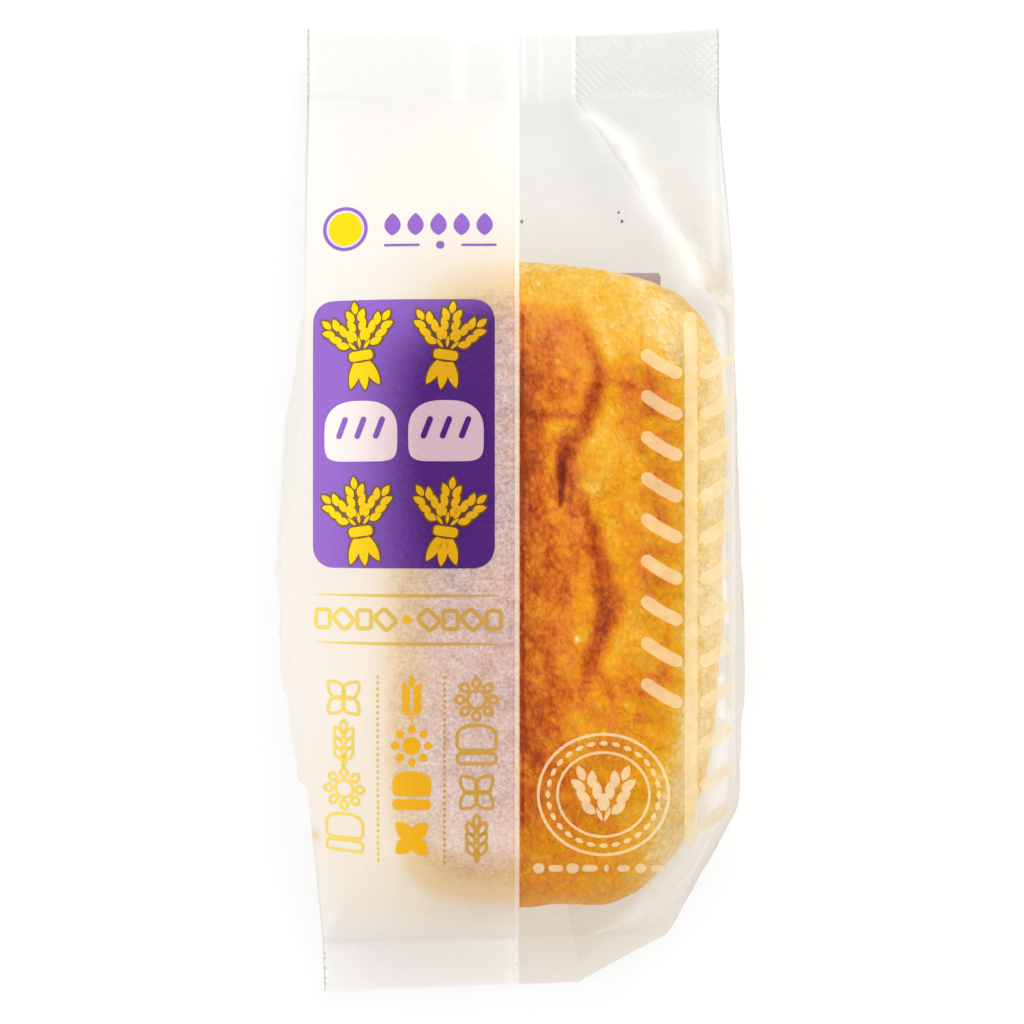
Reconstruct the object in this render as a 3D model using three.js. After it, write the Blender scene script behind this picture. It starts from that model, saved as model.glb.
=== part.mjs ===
// A small Danish pastry loaf sealed in a side-gusseted bag of paper and clear film.
// The bag lies on its back panel with the front panel up, and is one solid out to the film.
// Millimetres. +Y runs towards the top seal, +X to the right of the front panel, +Z up.
import * as THREE from "three";

// ---- Driving dimensions ----
const PANEL_WIDTH = 90; // front and back panels, from crease to crease
const GUSSET_WIDTH = 63; // each side gusset opened flat; it folds in half between the panels
const HALF_LENGTH = 105.2; // from the middle of the bag to its free edges
const TOP_SEAL = 14.6; // height of the sealed band at the top
const BOTTOM_SEAL = 11; // height of the one at the bottom
const SEAL_THICKNESS = 0.9;
const LIP = 0.45; // thickness of a panel's edge with the gusset folded in behind it
const TOP_SEAL_HEIGHT = 9; // the seals hang this far above the table
const BOTTOM_SEAL_HEIGHT = 5;
const BOTTOM_EDGE_DROP = 1.4; // the bottom seal's free edge hangs lower than its seal line

// The loaf's top under the film, and the heights of the front panel's two side creases.
const CROWN = { height: 43.2, topSlope: 73, bottomSlope: 25 };
const LEFT_CREASE = { height: 25, topSlope: 60, bottomSlope: 60 };
const RIGHT_CREASE = { height: 36, topSlope: 60, bottomSlope: 45 };
const LOAF_LEFT_RISE = 26.5; // the front panel climbs from its left crease to the loaf over this
const LOAF_RIGHT_RISE = 11; // the loaf lies against the right side of the bag

// The back panel rises from the table to the seals over these lengths, and curls at its sides.
const BACK_TOP_SLOPE = 33;
const BACK_BOTTOM_SLOPE = 14;
const BACK_CURL = { width: 6, height: 1.2 };

// Each gusset opens from flat to full over these lengths below and above the seals.
const TOP_MOUTH = 50;
const BOTTOM_MOUTH = 36;
const LEFT_BOW = { depth: 5.8, centre: -12, halfLength: 72 };
const RIGHT_BOW = { depth: 3.4, centre: -25, halfLength: 85 };

// The bottom right corner is tucked under the bag along a fold that starts at this y.
const TUCK_START = -61;
const BODY_TUCK = 14; // the fold has moved this far in at the seal line
const SEAL_TUCK = 18.5; // and as much again across the seal
const TUCK_CURVE = 1.3; // above 1, the fold bows outwards over the body

const SHOULDER = 2; // the right crease stands out this far where the bag is full
const LEFT_TAPER = { start: -42, amount: 3.4 }; // the left crease draws in towards the bottom
const TOP_DIP = 1.6; // the top edge sags in the middle
const BOTTOM_SLANT = { start: -82, rise: 3.4 }; // the bottom edge climbs from left to right

// ---- Mesh fineness ----
const PANEL_POINTS = 22; // across each panel
const SIDE_POINTS = 5; // down each side
const STATION_STEP = 3.7; // between cross-sections along the bag
const FOLD_STEP = 0.9; // the gusset starts to open this far from a seal line

const HALF_PANEL = PANEL_WIDTH / 2;
const HALF_SEAL = SEAL_THICKNESS / 2;
const TOP_LINE = HALF_LENGTH - TOP_SEAL;
const BOTTOM_LINE = BOTTOM_SEAL - HALF_LENGTH;

const mix = (a, b, t) => a + (b - a) * t;
const clamp01 = (t) => Math.min(Math.max(t, 0), 1);
const ease = (t) => clamp01(t) ** 2 * (3 - 2 * clamp01(t));
const sineRise = (t) => Math.sin((clamp01(t) * Math.PI) / 2);
const evenly = (count) => Array.from({ length: count }, (_, i) => i / (count - 1));

// ---- Where the side creases run, seen from above ----
function creaseLeft(y) {
  return 0.5 - HALF_PANEL + LEFT_TAPER.amount * ease((LEFT_TAPER.start - y) / (HALF_LENGTH + LEFT_TAPER.start));
}

function creaseRight(y) {
  const shoulder = SHOULDER * ease((TOP_LINE - y) / TOP_MOUTH);
  const tucked = BODY_TUCK * clamp01((TUCK_START - y) / (TUCK_START - BOTTOM_LINE)) ** TUCK_CURVE;
  return HALF_PANEL + shoulder - tucked - SEAL_TUCK * clamp01((BOTTOM_LINE - y) / BOTTOM_SEAL);
}

// ---- How high everything lies ----
// A line along the bag that leaves the top seal, swells to its full height and meets the bottom seal.
function swell(y, { height, topSlope, bottomSlope }, bottomRise = sineRise) {
  const fromTop = mix(TOP_SEAL_HEIGHT + HALF_SEAL, height, sineRise((TOP_LINE - y) / topSlope));
  const fromBottom = mix(BOTTOM_SEAL_HEIGHT + HALF_SEAL, height, bottomRise((y - BOTTOM_LINE) / bottomSlope));
  return Math.min(fromTop, fromBottom);
}

// The front panel: a slack line between its creases, lifted by the loaf.
function frontHeight(x, y) {
  const [left, right] = [creaseLeft(y), creaseRight(y)];
  const across = clamp01((x - left) / (right - left));
  const slack = mix(swell(y, LEFT_CREASE), swell(y, RIGHT_CREASE, ease), across);
  const lift = sineRise((x - left) / LOAF_LEFT_RISE) * sineRise((right - x) / LOAF_RIGHT_RISE);
  return mix(slack, swell(y, CROWN), lift);
}

// The back panel lies flat on the table, with its side edges curled up a little.
function underHeight(x, y) {
  const nearTop = (1 - clamp01((TOP_LINE - y) / BACK_TOP_SLOPE)) ** 2;
  const nearBottom = (1 - clamp01((y - BOTTOM_LINE) / BACK_BOTTOM_SLOPE)) ** 2;
  const inwards = clamp01(Math.min(x - creaseLeft(y), creaseRight(y) - x) / BACK_CURL.width);
  const curl = BACK_CURL.height * (1 - inwards) ** 2 * (1 - nearTop) * (1 - nearBottom);
  return (TOP_SEAL_HEIGHT - HALF_SEAL) * nearTop + (BOTTOM_SEAL_HEIGHT - HALF_SEAL) * nearBottom + curl;
}

// ---- The sides ----
const bow = (y, { depth, centre, halfLength }) => depth * (1 - ease(Math.abs(y - centre) / halfLength));
const openTop = (y) => clamp01((TOP_LINE - y) / TOP_MOUTH);
const openBottom = (y) => clamp01((y - BOTTOM_LINE) / BOTTOM_MOUTH);

// One side from under the front crease down to the back crease. The folded gusset is a V that
// runs in between the panels; the open one is a wall that bows outwards.
function sidePoints(y, edge, outward, open, bowed) {
  const top = frontHeight(edge, y);
  const under = underHeight(edge, y);
  return evenly(SIDE_POINTS).map((t, i) => {
    const share = (i + 1) / (SIDE_POINTS + 1);
    const foldedIn = (GUSSET_WIDTH / 2) * (1 - Math.abs(2 * t - 1));
    const fold = [-foldedIn, mix(top - LIP, under + LIP, t)];
    const wall = [bowed * Math.sin(Math.PI * share), mix(top, under, share)];
    return [edge + outward * mix(fold[0], wall[0], open), mix(fold[1], wall[1], open)];
  });
}

// ---- Cross-sections, each a closed loop: front panel, right side, back panel, left side ----
function section(left, right, front, under, rightSide, leftSide) {
  const across = evenly(PANEL_POINTS).map((t) => mix(left, right, t));
  const frontPanel = across.map((x) => [x, front(x)]);
  const backPanel = across.reverse().map((x) => [x, under(x)]);
  return [...frontPanel, ...rightSide, ...backPanel, ...leftSide];
}

function bodySection(y) {
  const [left, right] = [creaseLeft(y), creaseRight(y)];
  const leftOpen = Math.min(openTop(y), openBottom(y));
  const rightSide = sidePoints(y, right, 1, openTop(y), bow(y, RIGHT_BOW));
  const leftSide = sidePoints(y, left, -1, leftOpen, bow(y, LEFT_BOW)).reverse();
  return section(left, right, (x) => frontHeight(x, y), (x) => underHeight(x, y), rightSide, leftSide);
}

// A sealed band is flat, with its side edges rounded over.
function sealSection(y) {
  const z = y > 0 ? TOP_SEAL_HEIGHT : BOTTOM_SEAL_HEIGHT - (BOTTOM_EDGE_DROP * (BOTTOM_LINE - y)) / BOTTOM_SEAL;
  const roundedEdge = (edge, outward) =>
    Array.from({ length: SIDE_POINTS }, (_, i) => {
      const angle = Math.PI * ((i + 1) / (SIDE_POINTS + 1) - 0.5);
      return [edge + outward * HALF_SEAL * Math.cos(angle), z - outward * HALF_SEAL * Math.sin(angle)];
    });
  const [left, right] = [creaseLeft(y), creaseRight(y)];
  const rightSide = roundedEdge(right, 1);
  const leftSide = roundedEdge(left, -1);
  return section(left, right, () => z + HALF_SEAL, () => z - HALF_SEAL, rightSide, leftSide);
}

// The free edges are not square: the top one dips and the bottom one slants.
function placed([x, z], y) {
  const nearTop = clamp01((y - TOP_LINE + TOP_SEAL) / (2 * TOP_SEAL));
  const nearBottom = clamp01((BOTTOM_SLANT.start - y) / (HALF_LENGTH + BOTTOM_SLANT.start));
  const dip = TOP_DIP * (1 - (x / HALF_PANEL) ** 2) * nearTop;
  const slant = (BOTTOM_SLANT.rise * (x + HALF_PANEL) * nearBottom) / PANEL_WIDTH;
  return [x, y - dip + slant, z];
}

// ---- The solid: the sections in order down the bag, skinned and closed at both ends ----
function stations(from, to, makeSection) {
  const count = Math.ceil((from - to) / STATION_STEP) + 1;
  return evenly(count).map((t) => {
    const y = mix(from, to, t);
    return makeSection(y).map((point) => placed(point, y));
  });
}

function skin(ringCount, around) {
  const faces = [];
  for (let ring = 0; ring < ringCount - 1; ring++) {
    for (let i = 0; i < around; i++) {
      const [a, b] = [ring * around + i, ring * around + ((i + 1) % around)];
      faces.push([a, a + around, b], [b, a + around, b + around]);
    }
  }
  return faces;
}

// Closes a sealed end with a strip between its two faces and a fan over each rounded edge.
function endCap(start, flip) {
  const front = (i) => start + i;
  const under = (i) => start + 2 * PANEL_POINTS + SIDE_POINTS - 1 - i;
  const faces = [];
  for (let i = 0; i < PANEL_POINTS - 1; i++) {
    faces.push([front(i), front(i + 1), under(i)], [front(i + 1), under(i + 1), under(i)]);
  }
  for (let i = 0; i < SIDE_POINTS; i++) {
    const last = i === SIDE_POINTS - 1;
    faces.push([front(PANEL_POINTS - 1), front(PANEL_POINTS + i), front(PANEL_POINTS + i + 1)]);
    faces.push([under(0), under(-1 - i), last ? front(0) : under(-2 - i)]);
  }
  return flip ? faces.map(([a, b, c]) => [a, c, b]) : faces;
}

function bagGeometry() {
  const rings = [
    ...stations(HALF_LENGTH, TOP_LINE, sealSection),
    ...stations(TOP_LINE - FOLD_STEP, BOTTOM_LINE + FOLD_STEP, bodySection),
    ...stations(BOTTOM_LINE, -HALF_LENGTH, sealSection),
  ];
  const around = rings[0].length;
  const lastRing = (rings.length - 1) * around;
  const faces = [...skin(rings.length, around), ...endCap(0, false), ...endCap(lastRing, true)];
  const geometry = new THREE.BufferGeometry();
  geometry.setAttribute("position", new THREE.Float32BufferAttribute(rings.flat(2), 3));
  geometry.setIndex(faces.flat());
  geometry.computeVertexNormals();
  return geometry;
}

const film = new THREE.MeshStandardMaterial({ color: 0xf1eee6, roughness: 0.3, metalness: 0 });
const bag = new THREE.Mesh(bagGeometry(), film);
bag.name = "bag";

// The origin is the middle of the footprint, on the table.
const box = new THREE.Box3().setFromObject(bag);
bag.position.set(-(box.min.x + box.max.x) / 2, -(box.min.y + box.max.y) / 2, -box.min.z);

const baggedLoaf = new THREE.Group();
baggedLoaf.add(bag);

export default baggedLoaf;
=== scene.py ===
import itertools
import math

import bpy
import numpy as np
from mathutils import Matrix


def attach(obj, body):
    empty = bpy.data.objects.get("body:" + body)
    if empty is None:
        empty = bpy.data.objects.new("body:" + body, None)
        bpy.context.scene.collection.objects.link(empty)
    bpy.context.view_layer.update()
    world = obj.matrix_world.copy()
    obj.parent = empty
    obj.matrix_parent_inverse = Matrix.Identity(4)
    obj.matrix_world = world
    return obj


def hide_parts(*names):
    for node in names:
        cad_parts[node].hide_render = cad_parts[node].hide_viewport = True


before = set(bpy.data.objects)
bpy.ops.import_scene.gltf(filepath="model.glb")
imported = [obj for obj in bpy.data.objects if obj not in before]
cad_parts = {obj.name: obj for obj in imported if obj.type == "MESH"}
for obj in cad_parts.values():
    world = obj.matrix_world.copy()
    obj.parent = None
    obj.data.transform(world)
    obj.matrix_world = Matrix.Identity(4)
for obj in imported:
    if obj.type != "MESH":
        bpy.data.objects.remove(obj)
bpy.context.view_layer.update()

MM = 0.001
BODY = "root"
NODE = "bag"

# ---- The bag's form, as its solid has it ----
PANEL_WIDTH = 90.0  # front and back panels, from crease to crease
GUSSET_WIDTH = 63.0  # each side gusset opened flat
HALF_LENGTH = 105.2
TOP_SEAL = 14.6
BOTTOM_SEAL = 11.0
TOP_SEAL_HEIGHT = 9.0  # the seals hang this far above the table
BOTTOM_SEAL_HEIGHT = 5.0
BOTTOM_EDGE_DROP = 1.4
SEAL_HALF = 0.3  # half the thickness of the four layers at a seal
TOP_LINE = HALF_LENGTH - TOP_SEAL
BOTTOM_LINE = BOTTOM_SEAL - HALF_LENGTH
HALF_PANEL = PANEL_WIDTH / 2

# Height, and the lengths over which a line along the bag climbs from the top and bottom seals.
CROWN = (43.0, 73.0, 25.0)
LEFT_CREASE = (25.0, 60.0, 60.0)
RIGHT_CREASE = (36.0, 60.0, 45.0)
LOAF_LEFT_RISE = 26.5
LOAF_RIGHT_RISE = 11.0
BACK_TOP_SLOPE = 33.0
BACK_BOTTOM_SLOPE = 14.0
CURL_WIDTH = 6.0
CURL_HEIGHT = 1.2
BACK_LIFT = 0.45  # the back panel lies on its own folded seam
TOP_MOUTH = 50.0
BOTTOM_MOUTH = 36.0
LEFT_BOW = (5.8, -12.0, 72.0)  # depth, centre and half length
RIGHT_BOW = (3.4, -25.0, 85.0)
TUCK_START = -61.0
BODY_TUCK = 14.0
SEAL_TUCK = 18.5
TUCK_CURVE = 1.3
RAGGED = 0.9  # how far small wrinkles push that tucked edge in and out
RAGGED_SIZE = 7.0
SHOULDER = 2.0
TAPER_START = -42.0
TAPER = 3.4
TOP_DIP = 1.6
SLANT_START = -82.0
SLANT_RISE = 3.4
JOINT_X = 1.6  # the film is joined to the paper along this line of the front panel

# ---- The loaf ----
LOAF_X, LOAF_Y = 8.4, -15.4
LOAF_HALF_WIDTH = 36.7
LOAF_HALF_LENGTH = 69.0
LOAF_TOP = 41.9
LOAF_EQUATOR = 18.0
LOAF_BOTTOM = 0.9
SHOULDER_POWER = 3.2  # squareness of its section above the equator
BASE_POWER = 4.2  # and below it
CORNER_POWERS = {(-1, 1): 3.8, (1, 1): 6.0, (-1, -1): 5.0, (1, -1): 3.0}  # seen from above
TOP_RIGHT_SAG = 0.14  # its top end falls away to the right by this share
SAG_CURVE = 1.36
RIGHT_TAPER = 0.045  # and its right side narrows towards the lower end by this
FILM_GAP = 0.35
CONTACT_GAP = 0.5  # a web this far above the loaf or less touches it
GLOW_START = -40.0  # below this line the painted warm light from the loaf spreads further
GLOW_FADE = 40.0
GLOW_REACH = (8.0, 30.0)  # how far it spreads above and well below that line


# ---- Small helpers ----
def mix(a, b, t):
    return a + (b - a) * t


def clamp01(t):
    return np.clip(t, 0.0, 1.0)


def ease(t):
    t = clamp01(t)
    return t * t * (3 - 2 * t)


def sine_rise(t):
    return np.sin(clamp01(t) * math.pi / 2)


def bump(distance, width):
    """1 on a line and falling off to both sides of it."""
    return np.exp(-((distance / width) ** 2))


def window(value, low, high, fade):
    """1 between two limits, fading to 0 past them."""
    return ease((value - low) / fade + 1) * ease((high - value) / fade + 1)


def srgb(*levels):
    """A colour given as it looks on screen, 0 to 255, in linear light."""
    linear = [c / 12.92 if c <= 0.04045 else ((c + 0.055) / 1.055) ** 2.4 for c in (v / 255 for v in levels)]
    return (*linear, 1.0)


def turned(points, degrees):
    """Rows of x, y turned to the left about the origin."""
    c, s = math.cos(math.radians(degrees)), math.sin(math.radians(degrees))
    return points @ np.array([[c, s], [-s, c]])


def random_at(cell, seed):
    """A fixed random number from 0 to 1 for each whole-numbered cell."""
    c = cell.astype(np.int64).astype(np.uint64)
    h = c[..., 0] * np.uint64(73856093) + c[..., 1] * np.uint64(19349663) + c[..., 2] * np.uint64(83492791)
    h = h + np.uint64(seed * 2654435761)
    for shift in (15, 13):
        h = (h ^ (h >> np.uint64(shift))) * np.uint64(0x9E3779B97F4A7C15)
    return ((h >> np.uint64(40)) & np.uint64(0xFFFFF)).astype(float) / 0xFFFFF


def spots(x, y, z=0.0):
    return np.stack(np.broadcast_arrays(x, y, z), axis=-1).astype(float)


def noise(points, size, seed):
    """Smooth noise from -1 to 1, with lumps of about this size."""
    p = points / size
    base = np.floor(p)
    f = p - base
    f = f * f * f * (f * (f * 6 - 15) + 10)
    total = 0.0
    for corner in itertools.product((0.0, 1.0), repeat=3):
        weight = np.prod(np.where(corner, f, 1 - f), axis=-1)
        total = total + weight * random_at(base + corner, seed)
    return 2 * total - 1


def cells(points, size, seed):
    """Distances to the nearest and the second nearest of scattered centres, in cell sizes."""
    p = points / size
    base = np.floor(p)
    near = np.full(p.shape[:-1], 9.0)
    second = near.copy()
    flat = not np.ptp(p[..., 2])
    for offset in itertools.product((-1, 0, 1), (-1, 0, 1), (0,) if flat else (-1, 0, 1)):
        cell = base + offset
        centre = cell + spots(*(random_at(cell, seed + axis) for axis in range(3)))
        if flat:
            centre[..., 2] = p[..., 2]
        distance = np.linalg.norm(p - centre, axis=-1)
        second = np.minimum(second, np.maximum(near, distance))
        near = np.minimum(near, distance)
    return near, second


def from_path(x, y, path):
    """Distance of each point from a path of straight runs, and how far along it they are, 0 to 1."""
    ends = np.array(path, dtype=float)
    runs = np.linalg.norm(np.diff(ends, axis=0), axis=1)
    starts = np.concatenate([[0], np.cumsum(runs)])
    best = np.full(np.broadcast(x, y).shape, 1e9)
    along = np.zeros_like(best)
    for (ax, ay), (bx, by), run, start in zip(ends, ends[1:], runs, starts):
        t = clamp01(((x - ax) * (bx - ax) + (y - ay) * (by - ay)) / run**2)
        distance = np.hypot(x - mix(ax, bx, t), y - mix(ay, by, t))
        closer = distance < best
        along = np.where(closer, (start + t * run) / starts[-1], along)
        best = np.where(closer, distance, best)
    return best, along


# ---- Meshes ----
def build_mesh(name, points, faces, material, marks=None):
    """A smooth-shaded piece from points in mm, with its marks: a number at each point for each name."""
    mesh = bpy.data.meshes.new(name)
    mesh.from_pydata((np.asarray(points, dtype=float) * MM).tolist(), [], faces)
    mesh.polygons.foreach_set("use_smooth", [True] * len(mesh.polygons))
    mesh.materials.append(material)
    piece = bpy.data.objects.new(name, mesh)
    bpy.context.scene.collection.objects.link(piece)
    for key, values in (marks or {}).items():
        mark(piece, key, values)
    return piece


def grid_faces(rows, columns, start=0, flip=False):
    index = np.arange(rows * columns).reshape(rows, columns) + start
    quads = np.stack([index[:-1, :-1], index[1:, :-1], index[1:, 1:], index[:-1, 1:]], axis=-1).reshape(-1, 4)
    return (quads[:, ::-1] if flip else quads).tolist()


def mark(piece, key, values):
    """Gives each point of a piece a number that its material reads."""
    layer = piece.data.attributes.new(key, "FLOAT", "POINT")
    layer.data.foreach_set("value", np.ravel(values).astype(np.float32))


def point_rows(piece, key):
    """The places ("co") or the normals ("normal") of a piece's points, as rows of x, y, z."""
    rows = np.empty(len(piece.data.vertices) * 3)
    piece.data.vertices.foreach_get(key, rows)
    return rows.reshape(-1, 3)


class Sheets:
    """Collects patches of one material that lie on the bag, and makes one piece of them."""

    def __init__(self):
        self.points, self.faces, self.count = [], [], 0

    def add(self, points, flip=False):
        rows, columns = points.shape[:2]
        self.points.append(points.reshape(-1, 3))
        self.faces += grid_faces(rows, columns, self.count, flip)
        self.count += rows * columns

    def piece(self, name, material, slot):
        made = build_mesh(name, np.concatenate(self.points), self.faces, material)
        return belongs(made)


def belongs(piece):
    """Every piece rides with the bag's body and stands for part of its solid."""
    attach(piece, BODY)
    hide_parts(NODE)
    return piece


# ---- Shader nodes ----
def new_material(name):
    material = bpy.data.materials.new(name)
    material.use_nodes = True
    material.node_tree.nodes.clear()
    return material, material.node_tree


def node(tree, kind, inputs=None, **settings):
    made = tree.nodes.new("ShaderNode" + kind)
    for key, value in settings.items():
        setattr(made, key, value)
    for socket, value in (inputs or {}).items():
        if isinstance(value, bpy.types.NodeSocket):
            tree.links.new(value, made.inputs[socket])
        else:
            made.inputs[socket].default_value = value
    return made


def finish_material(tree, shader):
    output = node(tree, "OutputMaterial")
    tree.links.new(shader.outputs[0], output.inputs["Surface"])


def place_of(tree):
    return node(tree, "TexCoord").outputs["Object"]


def noise_node(tree, size_mm, detail=3.0, rough=0.55, stretch=(1, 1, 1)):
    where = node(tree, "Mapping", {"Vector": place_of(tree), "Scale": stretch}).outputs[0]
    inputs = {"Vector": where, "Scale": 1000 / size_mm, "Detail": detail, "Roughness": rough}
    return node(tree, "TexNoise", inputs).outputs["Fac"]


def remap(tree, value, low, high, to_low, to_high):
    inputs = {"Value": value, "From Min": low, "From Max": high, "To Min": to_low, "To Max": to_high}
    return node(tree, "MapRange", inputs).outputs["Result"]


def maths(tree, operation, *values, clamp=False):
    return node(tree, "Math", dict(enumerate(values)), operation=operation, use_clamp=clamp).outputs[0]


def attribute(tree, name):
    """The numbers that mark() gave the points under this name."""
    return node(tree, "Attribute", attribute_name=name).outputs["Fac"]


def bump_node(tree, strength, distance_mm, height, **more):
    inputs = {"Strength": strength, "Distance": distance_mm * MM, "Height": height, **more}
    return node(tree, "Bump", inputs).outputs[0]


def blended(tree, share, first, second):
    """The first shader, with this share of the second one in its place."""
    return node(tree, "MixShader", {0: share, 1: first.outputs[0], 2: second.outputs[0]})


def ramp(tree, value, *stops):
    """A colour ramp from (place, colour) stops."""
    made = node(tree, "ValToRGB", {"Fac": value})
    elements = made.color_ramp.elements
    while len(elements) < len(stops):
        elements.new(0.5)
    for element, (place, colour) in zip(elements, stops):
        element.position = place
        element.color = colour
    return made.outputs["Color"]


# ---- The bag's surfaces ----
def crease_left(y):
    return 0.5 - HALF_PANEL + TAPER * ease((TAPER_START - y) / (HALF_LENGTH + TAPER_START))


def crease_right(y):
    shoulder = SHOULDER * ease((TOP_LINE - y) / TOP_MOUTH)
    tucked = BODY_TUCK * clamp01((TUCK_START - y) / (TUCK_START - BOTTOM_LINE)) ** TUCK_CURVE
    along_tuck = window(y, BOTTOM_LINE + 3, TUCK_START + 3, 5)
    tucked = tucked + RAGGED * noise(spots(0 * y, y), RAGGED_SIZE, 97) * along_tuck
    return HALF_PANEL + shoulder - tucked - SEAL_TUCK * clamp01((BOTTOM_LINE - y) / BOTTOM_SEAL)


def bottom_height(y):
    return BOTTOM_SEAL_HEIGHT - BOTTOM_EDGE_DROP * clamp01((BOTTOM_LINE - y) / BOTTOM_SEAL)


def swell(y, line, bottom_rise=sine_rise):
    """The height of a line along the bag that swells between the two seals."""
    height, top_slope, bottom_slope = line
    from_top = mix(TOP_SEAL_HEIGHT + SEAL_HALF, height, sine_rise((TOP_LINE - y) / top_slope))
    from_bottom = mix(bottom_height(y) + SEAL_HALF, height, bottom_rise((y - BOTTOM_LINE) / bottom_slope))
    return np.minimum(from_top, from_bottom)


def front_height(x, y):
    left, right = crease_left(y), crease_right(y)
    across = clamp01((x - left) / (right - left))
    slack = mix(swell(y, LEFT_CREASE), swell(y, RIGHT_CREASE, ease), across)
    lift = sine_rise((x - left) / LOAF_LEFT_RISE) * sine_rise((right - x) / LOAF_RIGHT_RISE)
    return mix(slack, swell(y, CROWN), lift)


def under_height(x, y):
    near_top = (1 - clamp01((TOP_LINE - y) / BACK_TOP_SLOPE)) ** 2
    near_bottom = (1 - clamp01((y - BOTTOM_LINE) / BACK_BOTTOM_SLOPE)) ** 2
    inwards = clamp01(np.minimum(x - crease_left(y), crease_right(y) - x) / CURL_WIDTH)
    flat = (1 - near_top) * (1 - near_bottom)
    curl = CURL_HEIGHT * (1 - inwards) ** 2 * flat
    seals = (TOP_SEAL_HEIGHT - SEAL_HALF) * near_top + (bottom_height(y) - SEAL_HALF) * near_bottom
    return seals + curl + BACK_LIFT * flat


def bow(y, line):
    depth, centre, half_length = line
    return depth * (1 - ease(np.abs(y - centre) / half_length))


def side_point(y, t, outward):
    """A point of a side gusset, from the front crease at t = 0 to the back crease at t = 1."""
    edge = crease_right(y) if outward > 0 else crease_left(y)
    top, under = front_height(edge, y), under_height(edge, y)
    opened = clamp01((TOP_LINE - y) / TOP_MOUTH)
    if outward < 0:
        opened = np.minimum(opened, clamp01((y - BOTTOM_LINE) / BOTTOM_MOUTH))
    bowed = bow(y, RIGHT_BOW if outward > 0 else LEFT_BOW) * np.sin(math.pi * t)
    folded = -(GUSSET_WIDTH / 2) * (1 - np.abs(2 * t - 1))
    return edge + outward * mix(folded, bowed, opened), mix(top, under, t)


def squared_up(x, y):
    """The ends aren't square: the top edge dips and the bottom one slants."""
    near_top = clamp01((y - TOP_LINE + TOP_SEAL) / (2 * TOP_SEAL))
    near_bottom = clamp01((SLANT_START - y) / (HALF_LENGTH + SLANT_START))
    dip = TOP_DIP * (1 - (x / HALF_PANEL) ** 2) * near_top
    return y - dip + SLANT_RISE * (x + HALF_PANEL) * near_bottom / PANEL_WIDTH


# ---- The loaf's form, which the film also rests on ----
def corner_power(u, v):
    """How square the loaf's outline is, blended from corner to corner."""
    right, up = ease(0.5 + u), ease(0.5 + v)
    upper = mix(CORNER_POWERS[-1, 1], CORNER_POWERS[1, 1], right)
    lower = mix(CORNER_POWERS[-1, -1], CORNER_POWERS[1, -1], right)
    return mix(lower, upper, up)


def sagged(u, v):
    """How far the top end of the outline is drawn in, at u across and v along."""
    return 1 - TOP_RIGHT_SAG * clamp01(u) ** SAG_CURVE * ease(v * 2)


def tapered(u, v):
    """How far the right side of the outline is pushed out or in, at u across and v along."""
    return 1 + RIGHT_TAPER * v * ease(u * 2)


def loaf_reach(x, y):
    """0 at the middle of the loaf and 1 at its outline, seen from above."""
    u, v = (x - LOAF_X) / LOAF_HALF_WIDTH, (y - LOAF_Y) / LOAF_HALF_LENGTH
    u, v = u / tapered(u, v), v / sagged(u, v)
    power = corner_power(u, v)
    return (np.abs(u) ** power + np.abs(v) ** power) ** (1 / power)


def loaf_inset(x, y):
    """How far inside the loaf's outline a point lies, seen from above, and below 0 outside it."""
    from_middle = np.maximum(np.hypot(x - LOAF_X, y - LOAF_Y), 0.01)
    return from_middle * (1 / np.maximum(loaf_reach(x, y), 1e-4) - 1)


def loaf_glow(x, y):
    """How near the lower end a point of the bag is, and how much painted warm light from the loaf it gets."""
    low = ease((GLOW_START - y) / GLOW_FADE)
    return low, np.exp(-np.maximum(-loaf_inset(x, y), 0.0) / mix(*GLOW_REACH, low))


def loaf_top(x, y):
    reach = clamp01(loaf_reach(x, y))
    rise = (1 - reach**SHOULDER_POWER) ** (1 / SHOULDER_POWER)
    return np.where(reach < 1, mix(LOAF_EQUATOR, LOAF_TOP, rise), 0.0)


# ---- Folds of the film and the paper: path in mm, half width, height of the ridge, whiteness, which is a painted highlight on top of the film's milkiness ----
# The gusset's inner crease seen through the front panel: a white band of painted highlight, with the
# milkiness of the layers folded there.
GUSSET_CREASE_HIGHLIGHT = [
    (14.0, 89.5), (18.5, 85.0), (24.0, 80.0), (25.6, 75.6), (30.4, 64.8), (36.3, 55.8), (41.2, 46.2),
]
FILM_FOLDS = [
    (GUSSET_CREASE_HIGHLIGHT, 2.2, 0.7, 0.92),
    ([(26.4, 76.5), (32.0, 65.0), (37.6, 55.6), (42.3, 47.0)], 0.7, 0.5, 0.35),
    ([(42.6, 90.0), (42.9, 70.0), (42.7, 48.0)], 0.9, 0.4, 0.28),
    ([(41.2, 46.2), (44.5, 44.0), (46.5, 45.5)], 1.2, 0.5, 0.4),
    ([(43.5, 44.0), (44.0, 30.0), (45.5, 20.0)], 1.3, 0.4, 0.3),
    ([(44.5, -46.0), (42.8, -60.0), (38.0, -71.5), (31.5, -80.5), (23.0, -93.0)], 2.7, 0.9, 0.52),
    ([(45.5, -60.0), (41.0, -73.0), (34.5, -82.5), (29.0, -90.5)], 2.2, 0.5, 0.4),
    ([(44.8, -62.0), (38.8, -76.0), (28.0, -88.0)], 0.8, 0.7, 0.68),
    ([(35.5, -77.0), (26.5, -88.8), (16.0, -94.0)], 0.8, 0.5, 0.5),
    ([(45.8, -40.0), (44.6, -60.0), (41.5, -71.0)], 0.9, 0.5, 0.45),
    # the next two are painted glints on the right-hand wall
    ([(44.6, -14.0), (45.2, -24.0)], 0.7, 0.3, 0.6),
    ([(43.8, -34.0), (44.2, -44.0)], 0.8, 0.3, 0.6),
    ([(16.0, 84.0), (11.0, 74.0), (9.5, 62.0)], 1.2, 0.25, 0.05),
    ([(30.5, 63.0), (33.0, 55.0), (33.5, 50.5)], 0.8, 0.3, 0.12),
]
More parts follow.
